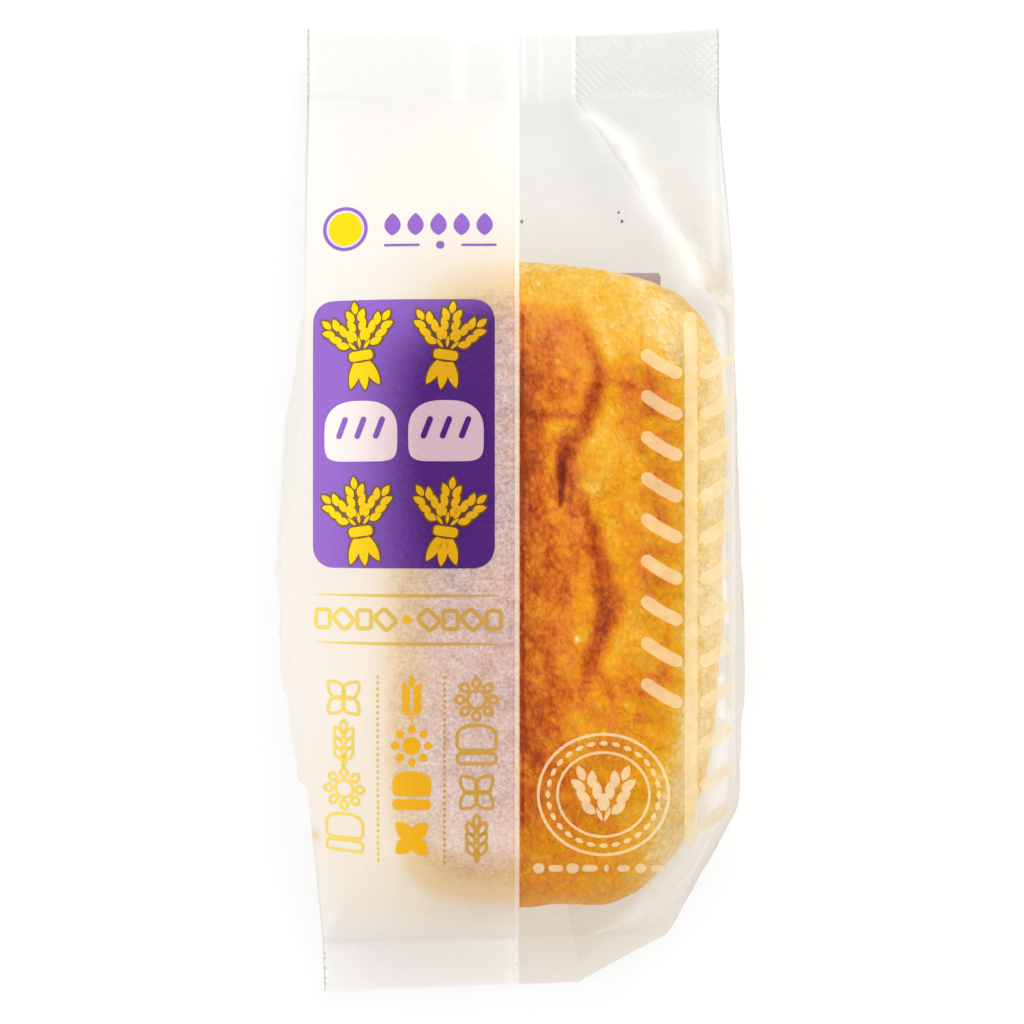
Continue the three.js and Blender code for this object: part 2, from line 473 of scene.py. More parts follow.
PAPER_FOLDS = [
    ([(-42.0, 88.0), (-36.0, 78.0), (-33.0, 66.0)], 1.6, 0.4, 0.0),
    ([(-13.5, 90.0), (-15.0, 82.0), (-19.0, 74.0)], 1.2, 0.35, 0.0),
    ([(-34.0, -76.0), (-38.0, -88.0), (-40.0, -93.0)], 1.5, 0.5, 0.0),
    ([(-20.0, -84.0), (-14.0, -90.0), (-6.0, -93.5)], 1.3, 0.35, 0.0),
]
SEAL_PLEATS = [(-13.4, 0.5), (-7.0, 0.7), (-3.8, 0.5), (2.6, 0.9), (6.2, 0.7), (13.4, 1.0)]  # x, strength
PLEAT_HEIGHT = 0.16
TOP_WAVE, BOTTOM_WAVE = 0.35, 0.2  # heights of the slow waves along the seals
SEAL_FADE = 0.8  # a seal sets in over this length
KNURL_PITCH = 1.79
KNURL_SLOPE = 0.95
KNURL_HEIGHT = 0.05
KNURL_RIGHT_START = 13.0
KNURL_LEFT_END = -28.0
TAUT_SHARE = 0.25  # how much of the wrinkling is left where the loaf stretches the web
PAPER_SHARE = 0.5  # and how much of the film's facets the softer paper has


def folds_at(x, y, folds):
    """How far the folds lift the front panel there, and how much painted highlight whitens them."""
    lift, white = 0.0, 0.0
    for path, width, height, whiteness in folds:
        distance, along = from_path(x, y, path)
        distance = distance * (1 + 0.35 * noise(spots(x, y), 6.0, 77))
        ends = ease(along * 6 + 0.25) * ease((1 - along) * 6 + 0.25)
        ridge = np.exp(-np.abs(distance / width) ** 1.4) * ends
        lift = lift + height * ridge
        white = np.maximum(white, whiteness * ridge)
    return lift, white


def in_top_seal(y):
    return ease((y - TOP_LINE) / SEAL_FADE)


def in_bottom_seal(y):
    return ease((BOTTOM_LINE - y) / SEAL_FADE)


def in_seals(y):
    return in_top_seal(y) + in_bottom_seal(y)


def in_right_knurl(x):
    return ease((x - KNURL_RIGHT_START) / 1.5)


def seal_relief(x, y):
    """The crimp's diagonal ribs at both corners, and the pleats between them."""
    right_corner = in_right_knurl(x)
    left_corner = ease((KNURL_LEFT_END - x) / 6.0)
    across = 2 * math.pi / KNURL_PITCH
    slope = np.where(x > 0, x + KNURL_SLOPE * y, x - KNURL_SLOPE * y)
    ribs = KNURL_HEIGHT * np.sin(across * slope) * np.maximum(right_corner, 0.35 * left_corner)
    stipple = 0.6 * KNURL_HEIGHT * np.sin(across * x * 1.3) * np.sin(across * y * 1.1)
    stipple = stipple * (1 - np.maximum(right_corner, left_corner))
    inside = window(y, TOP_LINE + 1.0, HALF_LENGTH - 2.6, 0.8) + 0.8 * in_bottom_seal(y)
    pleats = PLEAT_HEIGHT * sum(s * bump(x - at, 0.8) for at, s in SEAL_PLEATS) * ease((y - TOP_LINE + 4) / 6)
    top_wave = TOP_WAVE * np.sin(x / 7.5 + 1.0) * in_top_seal(y)
    bottom_wave = BOTTOM_WAVE * np.sin(x / 6.0) * in_bottom_seal(y)
    return (ribs + stipple) * inside + pleats + top_wave + bottom_wave


def crinkle(x, y, size, seed):
    """Sharp shallow ridges between flat facets, from 0 to 1."""
    near, second = cells(spots(x, y), size, seed)
    return np.exp(-(second - near) * 5.0)


def free_area(x, y):
    """1 where the front panel hangs free, 0 at its creases and its seals."""
    inwards = np.minimum(x - crease_left(y), crease_right(y) - x)
    return ease(inwards / 5.0) * ease((TOP_LINE - y) / 8.0) * ease((y - BOTTOM_LINE) / 6.0)


def front_surface(x, y):
    """The height of the front panel with its folds, resting on the loaf."""
    on_film = ease((x - JOINT_X + 1.0) / 2.0)
    film_lift, _ = folds_at(x, y, FILM_FOLDS)
    paper_lift, _ = folds_at(x, y, PAPER_FOLDS)
    facets = 0.55 * crinkle(x + 0.3 * y, y - 0.2 * x, 17.0, 3) + 0.3 * crinkle(x, y, 8.0, 5)
    soft = 0.35 * noise(spots(x, y), 16.0, 8)
    loose = free_area(x, y) * mix(1.0, TAUT_SHARE, closeness(x, y))
    slack = front_height(x, y) + mix(paper_lift, film_lift, on_film) * ease((TOP_LINE - y) / 3.0)
    slack = slack + loose * (facets * mix(PAPER_SHARE, 1.0, on_film) + soft)
    resting = loaf_top(x, y) + FILM_GAP
    return np.maximum(slack, resting) + seal_relief(x, y)


# ---- The two webs ----
ROW_STEP = 0.7
LENGTH_ROWS = int(2 * HALF_LENGTH / ROW_STEP) + 1
RIGHT_WALL_DRAWN_IN = 1.1  # the film clings to the loaf on that side
SEAM_X = -1.0  # the back seam
BACK_RIPPLE = 0.12
# The crease, pleat and facet whiteness below is painted highlight; the right edge's is partly the film seen
# edge-on and partly painted side light.
CREASE_WHITENESS = 0.3
PLEAT_WHITENESS = 0.45
GUSSET_WHITENESS = 0.48  # where the gusset's folded layers lie together near the top
SEAL_WHITENESS = 0.2
RIGHT_EDGE_WHITENESS = 0.14
FACET_WHITENESS = 0.045


def web_rows():
    return np.linspace(HALF_LENGTH, -HALF_LENGTH, LENGTH_ROWS)[:, None]


def side_wrinkles(y, t, outward):
    """Vertical and slanting wrinkles of an open gusset, to be pushed outwards."""
    opened = clamp01((TOP_LINE - y) / TOP_MOUTH) ** 2 * ease((y - BOTTOM_LINE) / 20.0)
    middle = np.sin(math.pi * t) ** 0.7
    seed = 21 if outward > 0 else 22
    ridges = crinkle(y + 9 * t, 30 * t, 13.0, seed)
    slow = noise(spots(y, 34 * t), 18.0, seed + 4)
    vertical = noise(spots(y, 12 * t), 5.0, seed + 8)
    drawn_in = RIGHT_WALL_DRAWN_IN if outward > 0 else 0.0
    return opened * middle * (0.75 * ridges + 0.45 * slow + 0.2 * vertical - drawn_in)


def side_panel(y, t, edge, outward):
    """The wrinkled gusset, which takes up the crimps of the seals beside it."""
    x, z = side_point(y, t, outward)
    x = x + outward * side_wrinkles(y, t, outward)
    at_crease = seal_relief(edge + 0 * x, y) * (1 - t)
    return spots(x, y, z + at_crease + in_seals(y) * (seal_relief(x, y) - at_crease))


def back_panel(y, x):
    ripple = BACK_RIPPLE * (1 + noise(spots(x, y), 9.0, 31) * (1 - clamp01(in_seals(y))))
    return spots(x, y, under_height(x, y) + in_seals(y) * seal_relief(x, y) + ripple)


def web(outward, front_columns, side_columns, back_columns):
    """Half of the bag: front panel from the joint to the crease, the gusset, and the back panel.

    Returns a grid of points, how far round each is in panels (0 to 3), and x and y before the ends slant.
    """
    y = web_rows()
    edge = crease_right(y) if outward > 0 else crease_left(y)
    u = np.linspace(0, 1, front_columns)[None, :]
    t = np.linspace(0, 1, side_columns + 2)[None, 1:-1]
    w = np.linspace(0, 1, back_columns)[None, :]
    front_x = mix(JOINT_X, edge, u)
    front = spots(front_x, y, front_surface(front_x, y))
    panels = [front, side_panel(y, t, edge, outward), back_panel(y, mix(edge, SEAM_X, w))]
    points = np.concatenate(panels, axis=1)
    around = np.concatenate([u[0], 1 + t[0], 2 + w[0]])[None, :] + 0 * y
    plain = points[..., :2].copy()
    points[..., 1] = squared_up(points[..., 0], points[..., 1])
    return points, around, plain


def film_whiteness(around, plain):
    """How white the film is: milky in its seals and where its layers lie together, with painted highlights
    along its folds, creases, pleats and facets, and toward its right edge partly milkier where seen edge-on
    and partly painted side light.
    """
    x, y = plain[..., 0], plain[..., 1]
    front = around <= 1
    _, white = folds_at(x, y, FILM_FOLDS)
    white = np.where(front, white, 0.0)
    pleats = sum(s * bump(x - at, 0.5) for at, s in SEAL_PLEATS) * ease((y - TOP_LINE + 3) / 4)
    white = np.maximum(white, PLEAT_WHITENESS * np.where(front, pleats, 0))
    crease = CREASE_WHITENESS * bump((around - 1.0) * HALF_PANEL, 1.1)
    # painted highlight along the gusset's inner crease near the top
    inner = 0.8 * bump((around - 1.5) * 60, 2.2) * ease((y - 40) / 10)
    layers = GUSSET_WHITENESS * window(around, 1.02, 1.98, 0.05) * ease((y - 30) / 20)
    seals = SEAL_WHITENESS * clamp01(in_seals(y))
    right = RIGHT_EDGE_WHITENESS * ease((x - 38.0) / 8.0) * (around < 2)
    right = right * ease((y + 92) / 10) * ease((86 - y) / 20)
    apart = (1 - closeness(x, y)) * (1 - 0.8 * ease(loaf_inset(x, y) / 3.0))
    facets = FACET_WHITENESS * crinkle(x, y, 11.0, 41) * np.where(front, free_area(x, y) * apart, 0.6)
    return clamp01(np.maximum.reduce([white, crease, inner, layers]) + seals + right + facets)


def make_film(material):
    points, around, plain = web(1, 100, 70, 44)
    x, y = plain[..., 0], plain[..., 1]
    low, glow = loaf_glow(x, y)
    knurled = in_right_knurl(x) * window(y, TOP_LINE + 0.8, HALF_LENGTH - 2.4, 0.6) * (around <= 1)
    marks = {
        "white": film_whiteness(around, plain),
        # painted warm light and shade from the loaf, stronger near the lower end
        "warm": mix(0.5, 1.0, low) * glow,
        "ribbed": 0.3 * knurled,
    }
    faces = grid_faces(*points.shape[:2])
    belongs(build_mesh("film", points.reshape(-1, 3), faces, material, marks))


STAIN = (-42.3, -69.6, 1.1, 1.6)  # a small tan spot on the paper: x, y and half sizes
UNDER_PAPER_BORDER = 6.0  # how far in from the loaf's edge the paper glows most


def painted_paper_glow(x, y, front):
    """How much painted warm glow the loaf puts on the paper: most where its rim lies close behind, least over
    its brown top.
    """
    inset = loaf_inset(x, y)
    past_border = ease((inset - UNDER_PAPER_BORDER) / 12.0)
    over_edge = ease(inset / 7.0 + 0.2) * (1 - past_border) * front
    spread = 0.42 - 0.27 * ease((-84.0 - y) / 8.0)
    at_edge = (0.35 + 0.1 * at_top_end(y) + 0.45 * at_bottom_end(y)) * over_edge
    return (spread + at_edge) * loaf_glow(x, y)[1] * (1 - 0.6 * past_border)


def make_paper(material):
    points, around, plain = web(-1, 62, 66, 42)
    x, y = plain[..., 0], plain[..., 1]
    front = around <= 1
    stain = np.exp(-(((x - STAIN[0]) / STAIN[2]) ** 2) - ((y - STAIN[1]) / STAIN[3]) ** 2)
    marks = {
        "close": closeness(x, y) * front,
        "near": nearness(x, y) * front,
        # painted warm glow from the loaf, and a real tan stain
        "warm": np.maximum(painted_paper_glow(x, y, front), stain * front),
        "layers": np.maximum(in_bottom_seal(y), 0.3 * in_top_seal(y)) + 0 * x,
    }
    faces = grid_faces(*points.shape[:2], flip=True)
    belongs(build_mesh("paper", points.reshape(-1, 3), faces, material, marks))


def touching(x, y, reach, margin, fade):
    """1 where the front panel rests on the loaf inside its border, falling to 0 as it rises off the loaf."""
    gap = front_height(x, y) - loaf_top(x, y)
    inside = ease((loaf_inset(x, y) + margin - smooth_margin(y)) / fade)
    return np.exp(-np.maximum(gap - CONTACT_GAP, 0) / reach) * inside


def closeness(x, y):
    """How close the loaf's brown top lies behind the front panel."""
    return touching(x, y, 8.0, 1.0, 8.5)


def nearness(x, y):
    """The same, out to the loaf's edge, for how much of the loaf shows through."""
    return touching(x, y, 14.0, 2.0, 6.0)


def smooth_margin(y):
    """How wide a border of the loaf shows through the paper as an even yellow."""
    return 2.0 + 4.0 * at_top_end(y) + 3.5 * at_bottom_end(y)


def at_top_end(y):
    return ease((y - 30.0) / 15.0)


def at_bottom_end(y):
    return ease((-64.0 - y) / 12.0)


# ---- The loaf's surface ----
UPPER_VALLEY = [
    (14.3, 43.6), (15.4, 39.2), (16.9, 34.1), (17.9, 29.5), (17.7, 25.7), (16.9, 22.1),
    (15.6, 18.1), (13.9, 16.2), (11.4, 13.7), (10.3, 11.6), (10.5, 6.7), (10.3, 1.3),
]
LOWER_VALLEY = [
    (14.4, 4.0), (15.8, 1.1), (17.1, -4.0), (17.5, -7.6), (20.0, -15.8), (20.9, -19.2),
    (20.0, -23.6), (18.3, -27.8), (16.6, -31.4), (16.2, -34.8), (13.4, -43.0),
]
VALLEYS = [  # path, how much painted shade darkens its floor, then its depth and half width at even steps along it
    (UPPER_VALLEY, 1.0, (0.3, 1.2, 1.8, 2.6, 3.0, 3.4, 3.6, 3.4, 4.2, 4.4, 2.6),
     (1.8, 1.7, 1.5, 1.3, 1.3, 1.4, 1.8, 1.7, 0.75, 0.6, 0.45)),
    (LOWER_VALLEY, 1.05, (1.4, 2.8, 3.0, 2.8, 2.8, 3.4, 3.4, 2.8, 2.6, 1.2, 0.4),
     (0.9, 1.1, 1.6, 1.9, 2.3, 2.6, 2.4, 1.9, 1.5, 1.2, 1.0)),
]
MAIN_VALLEY = UPPER_VALLEY[:-1] + LOWER_VALLEY[2:]
VALLEY_WANDER = 0.7  # how far the valleys and creases stray from their paths
CRUST_CREASES = [  # path, half width, depth
    ([(17.6, 26.6), (22.0, 27.4), (27.0, 26.2)], 0.9, 0.7),
    ([(1.0, 21.6), (5.0, 20.3), (9.0, 20.6), (15.4, 20.2)], 1.0, 0.7),
    ([(16.0, 1.2), (20.0, 3.2), (22.5, 1.0)], 1.0, 0.5),
    ([(27.4, 38.0), (28.6, 31.0), (28.4, 23.0)], 0.6, 0.45),
    ([(31.5, 12.0), (30.0, 2.0), (32.5, -6.0)], 0.7, 0.4),
    ([(36.5, 1.5), (39.5, 0.6)], 0.6, 0.5),
    ([(-12.0, 38.0), (-14.0, 20.0), (-11.0, 2.0), (-13.0, -18.0)], 2.0, 0.8),
    ([(3.0, -26.0), (8.0, -30.0), (12.0, -29.0)], 0.9, 0.4),
    ([(6.0, -44.0), (13.0, -46.0), (19.0, -43.0)], 1.3, 0.5),
    ([(16.2, -31.5), (18.5, -34.5), (21.0, -38.5)], 1.2, 0.7),
    ([(25.0, -30.0), (28.0, -36.0), (26.0, -44.0)], 0.9, 0.4),
]
PEBBLE = 1.7
PEBBLE_STRETCH = np.array([1.0, 0.75, 1.0])  # they are longer along the loaf
CRUST_HIGHEST = 1.6  # its lumps just touch the film
CRUST_SUNK = 1.3
LOAF_COLUMNS, LOAF_ROWS = 158, 262  # the grid of each half


def valleys_at(points):
    """How deep the valleys are there, how much painted shade darkens them, and how much painted highlight
    lies along their edges.
    """
    x = points[..., 0] + VALLEY_WANDER * noise(points, 4.0, 51)
    y = points[..., 1] + VALLEY_WANDER * noise(points, 4.0, 52)
    fall, dark, rim_highlights = 0.0, 0.0, 0.0
    for path, floor_shade, depths, widths in VALLEYS:
        distance, along = from_path(x, y, path)
        depth = np.interp(along, np.linspace(0, 1, len(depths)), depths)
        width = np.interp(along, np.linspace(0, 1, len(widths)), widths)
        floor = np.exp(-np.abs(distance / width) ** 2.4)
        fall = np.maximum(fall, depth * (0.35 * bump(distance, 3.0 + 2 * width) + 0.65 * floor))
        # painted shade in the valley, on top of the shadow its depth casts
        dark = np.maximum(dark, clamp01(depth / 4.0) * (floor_shade * floor + 0.2 * bump(distance, 3.0)))
        # painted highlight along the valley's edges
        rim_highlights = np.maximum(rim_highlights, clamp01(depth / 2.2) * bump(distance - width - 2.0, 1.3))
    return fall, dark, rim_highlights


def crust_relief(points, facing_up):
    """How far the crust stands out or in, how much painted shade its valleys and creases get, where its
    pebbles part, and the painted highlight beside its valleys.
    """
    x = points[..., 0] + VALLEY_WANDER * noise(points, 3.5, 53)
    y = points[..., 1] + VALLEY_WANDER * noise(points, 3.5, 54)
    valley, crevice_shade, rim_highlights = valleys_at(points)
    valley, crevice_shade = valley * facing_up, crevice_shade * facing_up
    creases = 0.0
    for path, width, fall in CRUST_CREASES:
        away, _ = from_path(x, y, path)
        line = np.exp(-np.abs(away / width) ** 1.4) * facing_up
        creases = creases + fall * line
        # the creases get painted shade as well
        crevice_shade = np.maximum(crevice_shade, clamp01(0.8 * fall) * line)
    small = 0.8 * np.abs(noise(points, 5.2, 56)) + 0.6 * noise(points, 2.7, 62)
    calm = mix(0.3, 1.0, facing_up)
    lumps = 0.6 * noise(points, 11.0, 55) + calm * small
    warped = points + 0.7 * spots(*(noise(points, 2.4, s) for s in (57, 58, 59)))
    near, second = cells(warped * PEBBLE_STRETCH, PEBBLE, 60)
    edge = second - near
    pebbles = calm * (0.42 * clamp01(edge * 2.4) + 0.14 * (1 - near))
    return lumps + pebbles - valley - creases, crevice_shade, edge, rim_highlights * facing_up


def loaf_profile(power, height):
    """Plan radius and height of the loaf's rounding at even steps along it, centre to equator."""
    angle = np.linspace(0, math.pi / 2, 600)
    radius, rise = np.sin(angle) ** (2 / power), np.cos(angle) ** (2 / power)
    width = (LOAF_HALF_WIDTH + LOAF_HALF_LENGTH) / 2
    run = np.concatenate([[0], np.cumsum(np.hypot(np.diff(radius * width), np.diff(rise * height)))])
    return lambda t: (np.interp(t, run / run[-1], radius), np.interp(t, run / run[-1], rise))


def crowded(steps, share):
    """Steps from -1 to 1 drawn closer together in the middle by this share."""
    return steps * (1 - share + share * steps**2)


def loaf_half(columns, rows, power, height):
    """The loaf above or below its equator, as a square grid pulled out to its outline."""
    u, v = np.meshgrid(crowded(np.linspace(-1, 1, columns), 0.24), crowded(np.linspace(1, -1, rows), 0.1))
    ring = np.maximum(np.abs(u), np.abs(v))
    du, dv = u / np.maximum(ring, 1e-9), v / np.maximum(ring, 1e-9)
    corner = corner_power(du, dv)
    pull = (np.abs(du) ** corner + np.abs(dv) ** corner) ** (-1 / corner)
    radius, rise = loaf_profile(power, abs(height))(ring)
    across, along = du * pull * radius, dv * pull * radius
    x = LOAF_X + LOAF_HALF_WIDTH * across * tapered(across, along)
    y = LOAF_Y + LOAF_HALF_LENGTH * along * sagged(across, along)
    return spots(x, y, LOAF_EQUATOR + height * rise)


# How deeply the crust is baked, from 0 for pale yellow to 1 for dark brown.
LEFT_LOBES, RIGHT_LOBES = 0.64, 0.43
TOP_END, BOTTOM_END, LOWER_RIM = 0.17, 0.4, 0.04
PATCHES = [  # how much browner or paler, x and y, half width and half length
    (0.12, 30.0, 24.0, 8.0, 8.0),
    (-0.16, 20.0, 10.0, 7.0, 12.0),
    (-0.25, 9.2, 17.8, 2.6, 1.5),
    (-0.2, 13.5, -45.0, 3.5, 4.5),
    (-0.1, 27.0, -22.0, 6.0, 9.0),
]
BANDS = [  # how much browner or paler, x and half width, and the lower end, upper end and fade in y
    # painted shade on the crust beside the paper's edge
    (0.16, JOINT_X, 4.5, (-45.0, 24.0, 15.0)),
    # painted shade on the slit's right-hand wall
    (0.42, 12.7, 1.8, (0.5, 11.5, 3.0)),
    (-0.2, 14.2, 2.0, (-27.0, -14.0, 4.0)),
]
JOINT_SHADE = (0.3, JOINT_X + 0.6, 0.35)  # a thin painted shadow on the crust beside the seal: how much browner, x and half width
PALE_SPECKS = [(9.5, 31.8, 0.5), (13.6, -26.6, 0.6), (24.0, -6.5, 0.4)]  # x, y, radius


def lobes_browning(x, y):
    """How brown the loaf's lobes are: darker left of the main valley, with patches and bands, and painted
    shade beside the seal and beside the slit.
    """
    line = np.array(MAIN_VALLEY[::-1])
    left_of_valley = ease((np.interp(y, line[:, 1], line[:, 0]) - x) / 7.0 + 0.3)
    lobes = mix(RIGHT_LOBES, LEFT_LOBES, left_of_valley)
    for change, at_x, at_y, half_width, half_length in PATCHES:
        lobes = lobes + change * bump(x - at_x, half_width) * bump(y - at_y, half_length)
    for change, at_x, half_width, ends in BANDS:
        lobes = lobes + change * bump(x - at_x, half_width) * window(y, *ends)
    change, at_x, half_width = JOINT_SHADE
    return lobes + change * bump(x - at_x, half_width)


def browning(points, crevice_shade, edge, rim_highlights):
    """How brown the crust is, from its lobes out to its pale rim, ends and sides, with painted shade and
    painted highlights among its pebbles and valleys.
    """
    x, y, z = points[..., 0], points[..., 1], points[..., 2]
    rim = ease((loaf_reach(x, y) - 0.62) / 0.26)
    right_rim, left_rim = 0.95 * rim * ease((x - 20) / 14), 0.55 * rim * ease((-8 - x) / 12)
    right = ease((x - 14) / 6)
    top_end = ease((y - mix(39.0, 27.0, right)) / mix(8.0, 14.0, right))
    bottom_end = ease((-60.0 - y) / 12.0)
    side = ease((LOAF_TOP - 5 - z) / 16.0) * (1 - 0.85 * bottom_end * ease((z - 12.0) / 8.0))
    brown = mix(lobes_browning(x, y), TOP_END, mix(0.93, 0.86, right) * top_end)
    brown = mix(brown, BOTTOM_END, 0.85 * bottom_end)
    brown = mix(brown, LOWER_RIM * ease((y - 8) / 20.0), right_rim + left_rim)
    brown = mix(brown, 0.08 + 0.08 * noise(points, 17.0, 74), side)
    calm = (1 - 0.5 * rim) * mix(0.5, 1.0, ease((brown - 0.1) / 0.25))
    mottle = 0.07 * noise(points, 6.5, 71) + 0.15 * noise(points, 2.7, 62) + 0.05 * noise(points, 14.0, 73)
    # painted highlight specks on the crust
    glints = ease((noise(points, 1.4, 75) - 0.45) / 0.3)
    # darker between the pebbles and paler on their tops: painted shade and painted highlight
    pebble_shade_and_glints = 0.08 * clamp01(1 - edge * 3.0) - 0.1 * clamp01(edge * 1.5 - 0.4) - 0.1 * glints
    # painted shade along the creases between the lumps
    folds = 0.09 * bump(noise(points, 5.2, 56), 0.2)
    pale = sum(bump(np.hypot(x - px, y - py), radius) for px, py, radius in PALE_SPECKS)
    texture = calm * (mottle + (pebble_shade_and_glints + folds) * (1 - 0.6 * side)) * (1 - 0.6 * crevice_shade)
    # painted shade in the valleys and creases, painted highlight beside the valleys
    return clamp01(brown + texture + 0.4 * crevice_shade - 0.09 * rim_highlights - 0.5 * pale)


def make_loaf(material):
    """Two halves that meet at the equator, welded and then pushed out and in along their normals."""
    upper = loaf_half(LOAF_COLUMNS, LOAF_ROWS, SHOULDER_POWER, LOAF_TOP - LOAF_EQUATOR)
    lower = loaf_half(LOAF_COLUMNS, LOAF_ROWS, BASE_POWER, LOAF_BOTTOM - LOAF_EQUATOR)
    halves = Sheets()
    halves.add(upper)
    halves.add(lower, flip=True)
    loaf = halves.piece("loaf", material, "crust")
    weld(loaf)
    skin, normal = point_rows(loaf, "co") / MM, point_rows(loaf, "normal")
    relief, crevice_shade, edge, rim_highlights = crust_relief(skin, clamp01(normal[:, 2] * 1.6 - 0.3))
    relief = np.where(normal[:, 2] < -0.5, 0.3 * relief, relief)
    relief = np.minimum(relief, CRUST_HIGHEST) - CRUST_SUNK * ease(normal[:, 2] * 1.6)
    moved = skin + normal * relief[:, None]
    moved[:, 2] = np.maximum(moved[:, 2], LOAF_BOTTOM)
    loaf.data.vertices.foreach_set("co", (moved * MM).ravel())
    mark(loaf, "brown", browning(skin, crevice_shade, edge, rim_highlights))


def weld(piece):
    """Joins points that lie together, where two halves of a mesh meet."""
    merge = piece.modifiers.new("weld", "WELD")
    merge.merge_threshold = 0.02 * MM
    with bpy.context.temp_override(object=piece, active_object=piece, selected_objects=[piece]):
        bpy.ops.object.modifier_apply(modifier=merge.name)


# ---- Print: fields of colour and simple shapes that lie on the webs ----
PURPLE_PANEL = (-23.0, 16.5, 19.4, 28.3, 4.4)  # middle, half width, half height and corner radius
PANEL_COLUMNS = (-31.9, -13.8)
PANEL_ROWS = (35.4, 17.0, -1.6)
MOTIF = 8.0  # half size of the panel's motifs
OUTLINE_WIDTH = 0.45
BAND_LIFT = 0.16  # a sheaf's band lies over its stems
BUN_SIZE = (7.9, 6.4)
BUN_CUTS = (-4.0, 0.0, 4.0)
HEADING_DISC = (-35.6, 60.4)
HEADING_LEAVES = np.array([-25.4, 61.2])
HEADING_RULE = 56.6
GOLD_LINES = (-17.5, -27.6)
GOLD_LINE_ENDS = (-41.8, -2.4)
LINKS = 9  # squares and diamonds between the gold lines, with a dot as the middle one
LINKS_START, LINK_PITCH = -40.2, 4.55
GOLD_COLUMNS = (-35.6, -21.0, -7.4)
GOLD_ROWS = (-39.2, -48.9, -58.6, -68.3)
DOTTED_LINES = (-28.2, -14.1)
DOTS = (-34.6, -73.5, -1.25)  # their first and last y and their step
STAMP = (19.1, -59.0)
STAMP_OUTER = (13.6, 12.6)
STAMP_INNER = (9.6, 8.8)
STAMP_GRAINS = (11.6, 10.7)
DASH_WIDTHS = (2.4, 3.0, 2.6, 3.2, 1.0, 2.6, 2.2, 2.8)
DASHES_START, DASH_PITCH, DASHES_Y = 5.6, 3.55, -74.6
STRIP_X = 37.4
STRIP_ENDS = (42.0, -70.0)
STRIP_LINE = 2.7
STRIP_PITCH = 8.6


def circle(centre, rx, ry=None, count=40):
    angle = np.linspace(0, 2 * math.pi, count + 1)
    return np.stack([rx * np.cos(angle), (ry or rx) * np.sin(angle)], axis=-1) + centre


def leaf(centre, length, width, turn=0.0):
    """A pointed grain that stands upright when turn is 0."""
    t = np.linspace(0, 1, 14)
    side = width / 2 * np.sin(math.pi * t) ** 0.75 * (1.12 - 0.3 * t)
    up = np.stack([side, length * (t - 0.5)], axis=-1)
    down = np.stack([-side, length * (t - 0.5)], axis=-1)[::-1][1:]
    return turned(np.concatenate([up, down]), turn) + centre


def rounded_rectangle(centre, half_width, half_height, radius, turn=0.0):
    corners = []
    for quarter, (sx, sy) in enumerate(((1, 1), (-1, 1), (-1, -1), (1, -1))):
        angle = np.linspace(0, math.pi / 2, 7) + quarter * math.pi / 2
        middle = np.array([sx * (half_width - radius), sy * (half_height - radius)])
        corners.append(middle + radius * np.stack([np.cos(angle), np.sin(angle)], axis=-1))
    outline = np.concatenate([*corners, corners[0][:1]])
    return turned(outline, turn) + centre


def bun(centre, half_width, half_height):
    """A domed loaf seen from the side, with round lower corners."""
    angle = np.linspace(0, 2 * math.pi, 61)
    c, s = np.cos(angle), np.sin(angle)
    across = half_width * np.sign(c) * np.abs(c) ** np.where(s > 0, 0.75, 0.35)
    up = half_height * np.sign(s) * np.abs(s) ** np.where(s > 0, 0.85, 0.35)
    return np.stack([across, up], axis=-1) + centre


def even_outline(outline, step=0.8):
    """The same outline with points close enough to follow the surface."""
    runs = np.linalg.norm(np.diff(outline, axis=0), axis=1)
    along = np.concatenate([[0], np.cumsum(runs)])
    count = max(len(outline), int(along[-1] / step))
    at = np.linspace(0, along[-1], count)
    return np.stack([np.interp(at, along, outline[:, i]) for i in range(2)], axis=-1)


def on_front(plan, lift):
    x, y = plan[..., 0], plan[..., 1]
    return spots(x, squared_up(x, y), front_surface(x, y) + lift)


def on_back(plan, lift):
    x, y = plan[..., 0], plan[..., 1]
    return spots(x, squared_up(x, y), under_height(x, y) + lift)


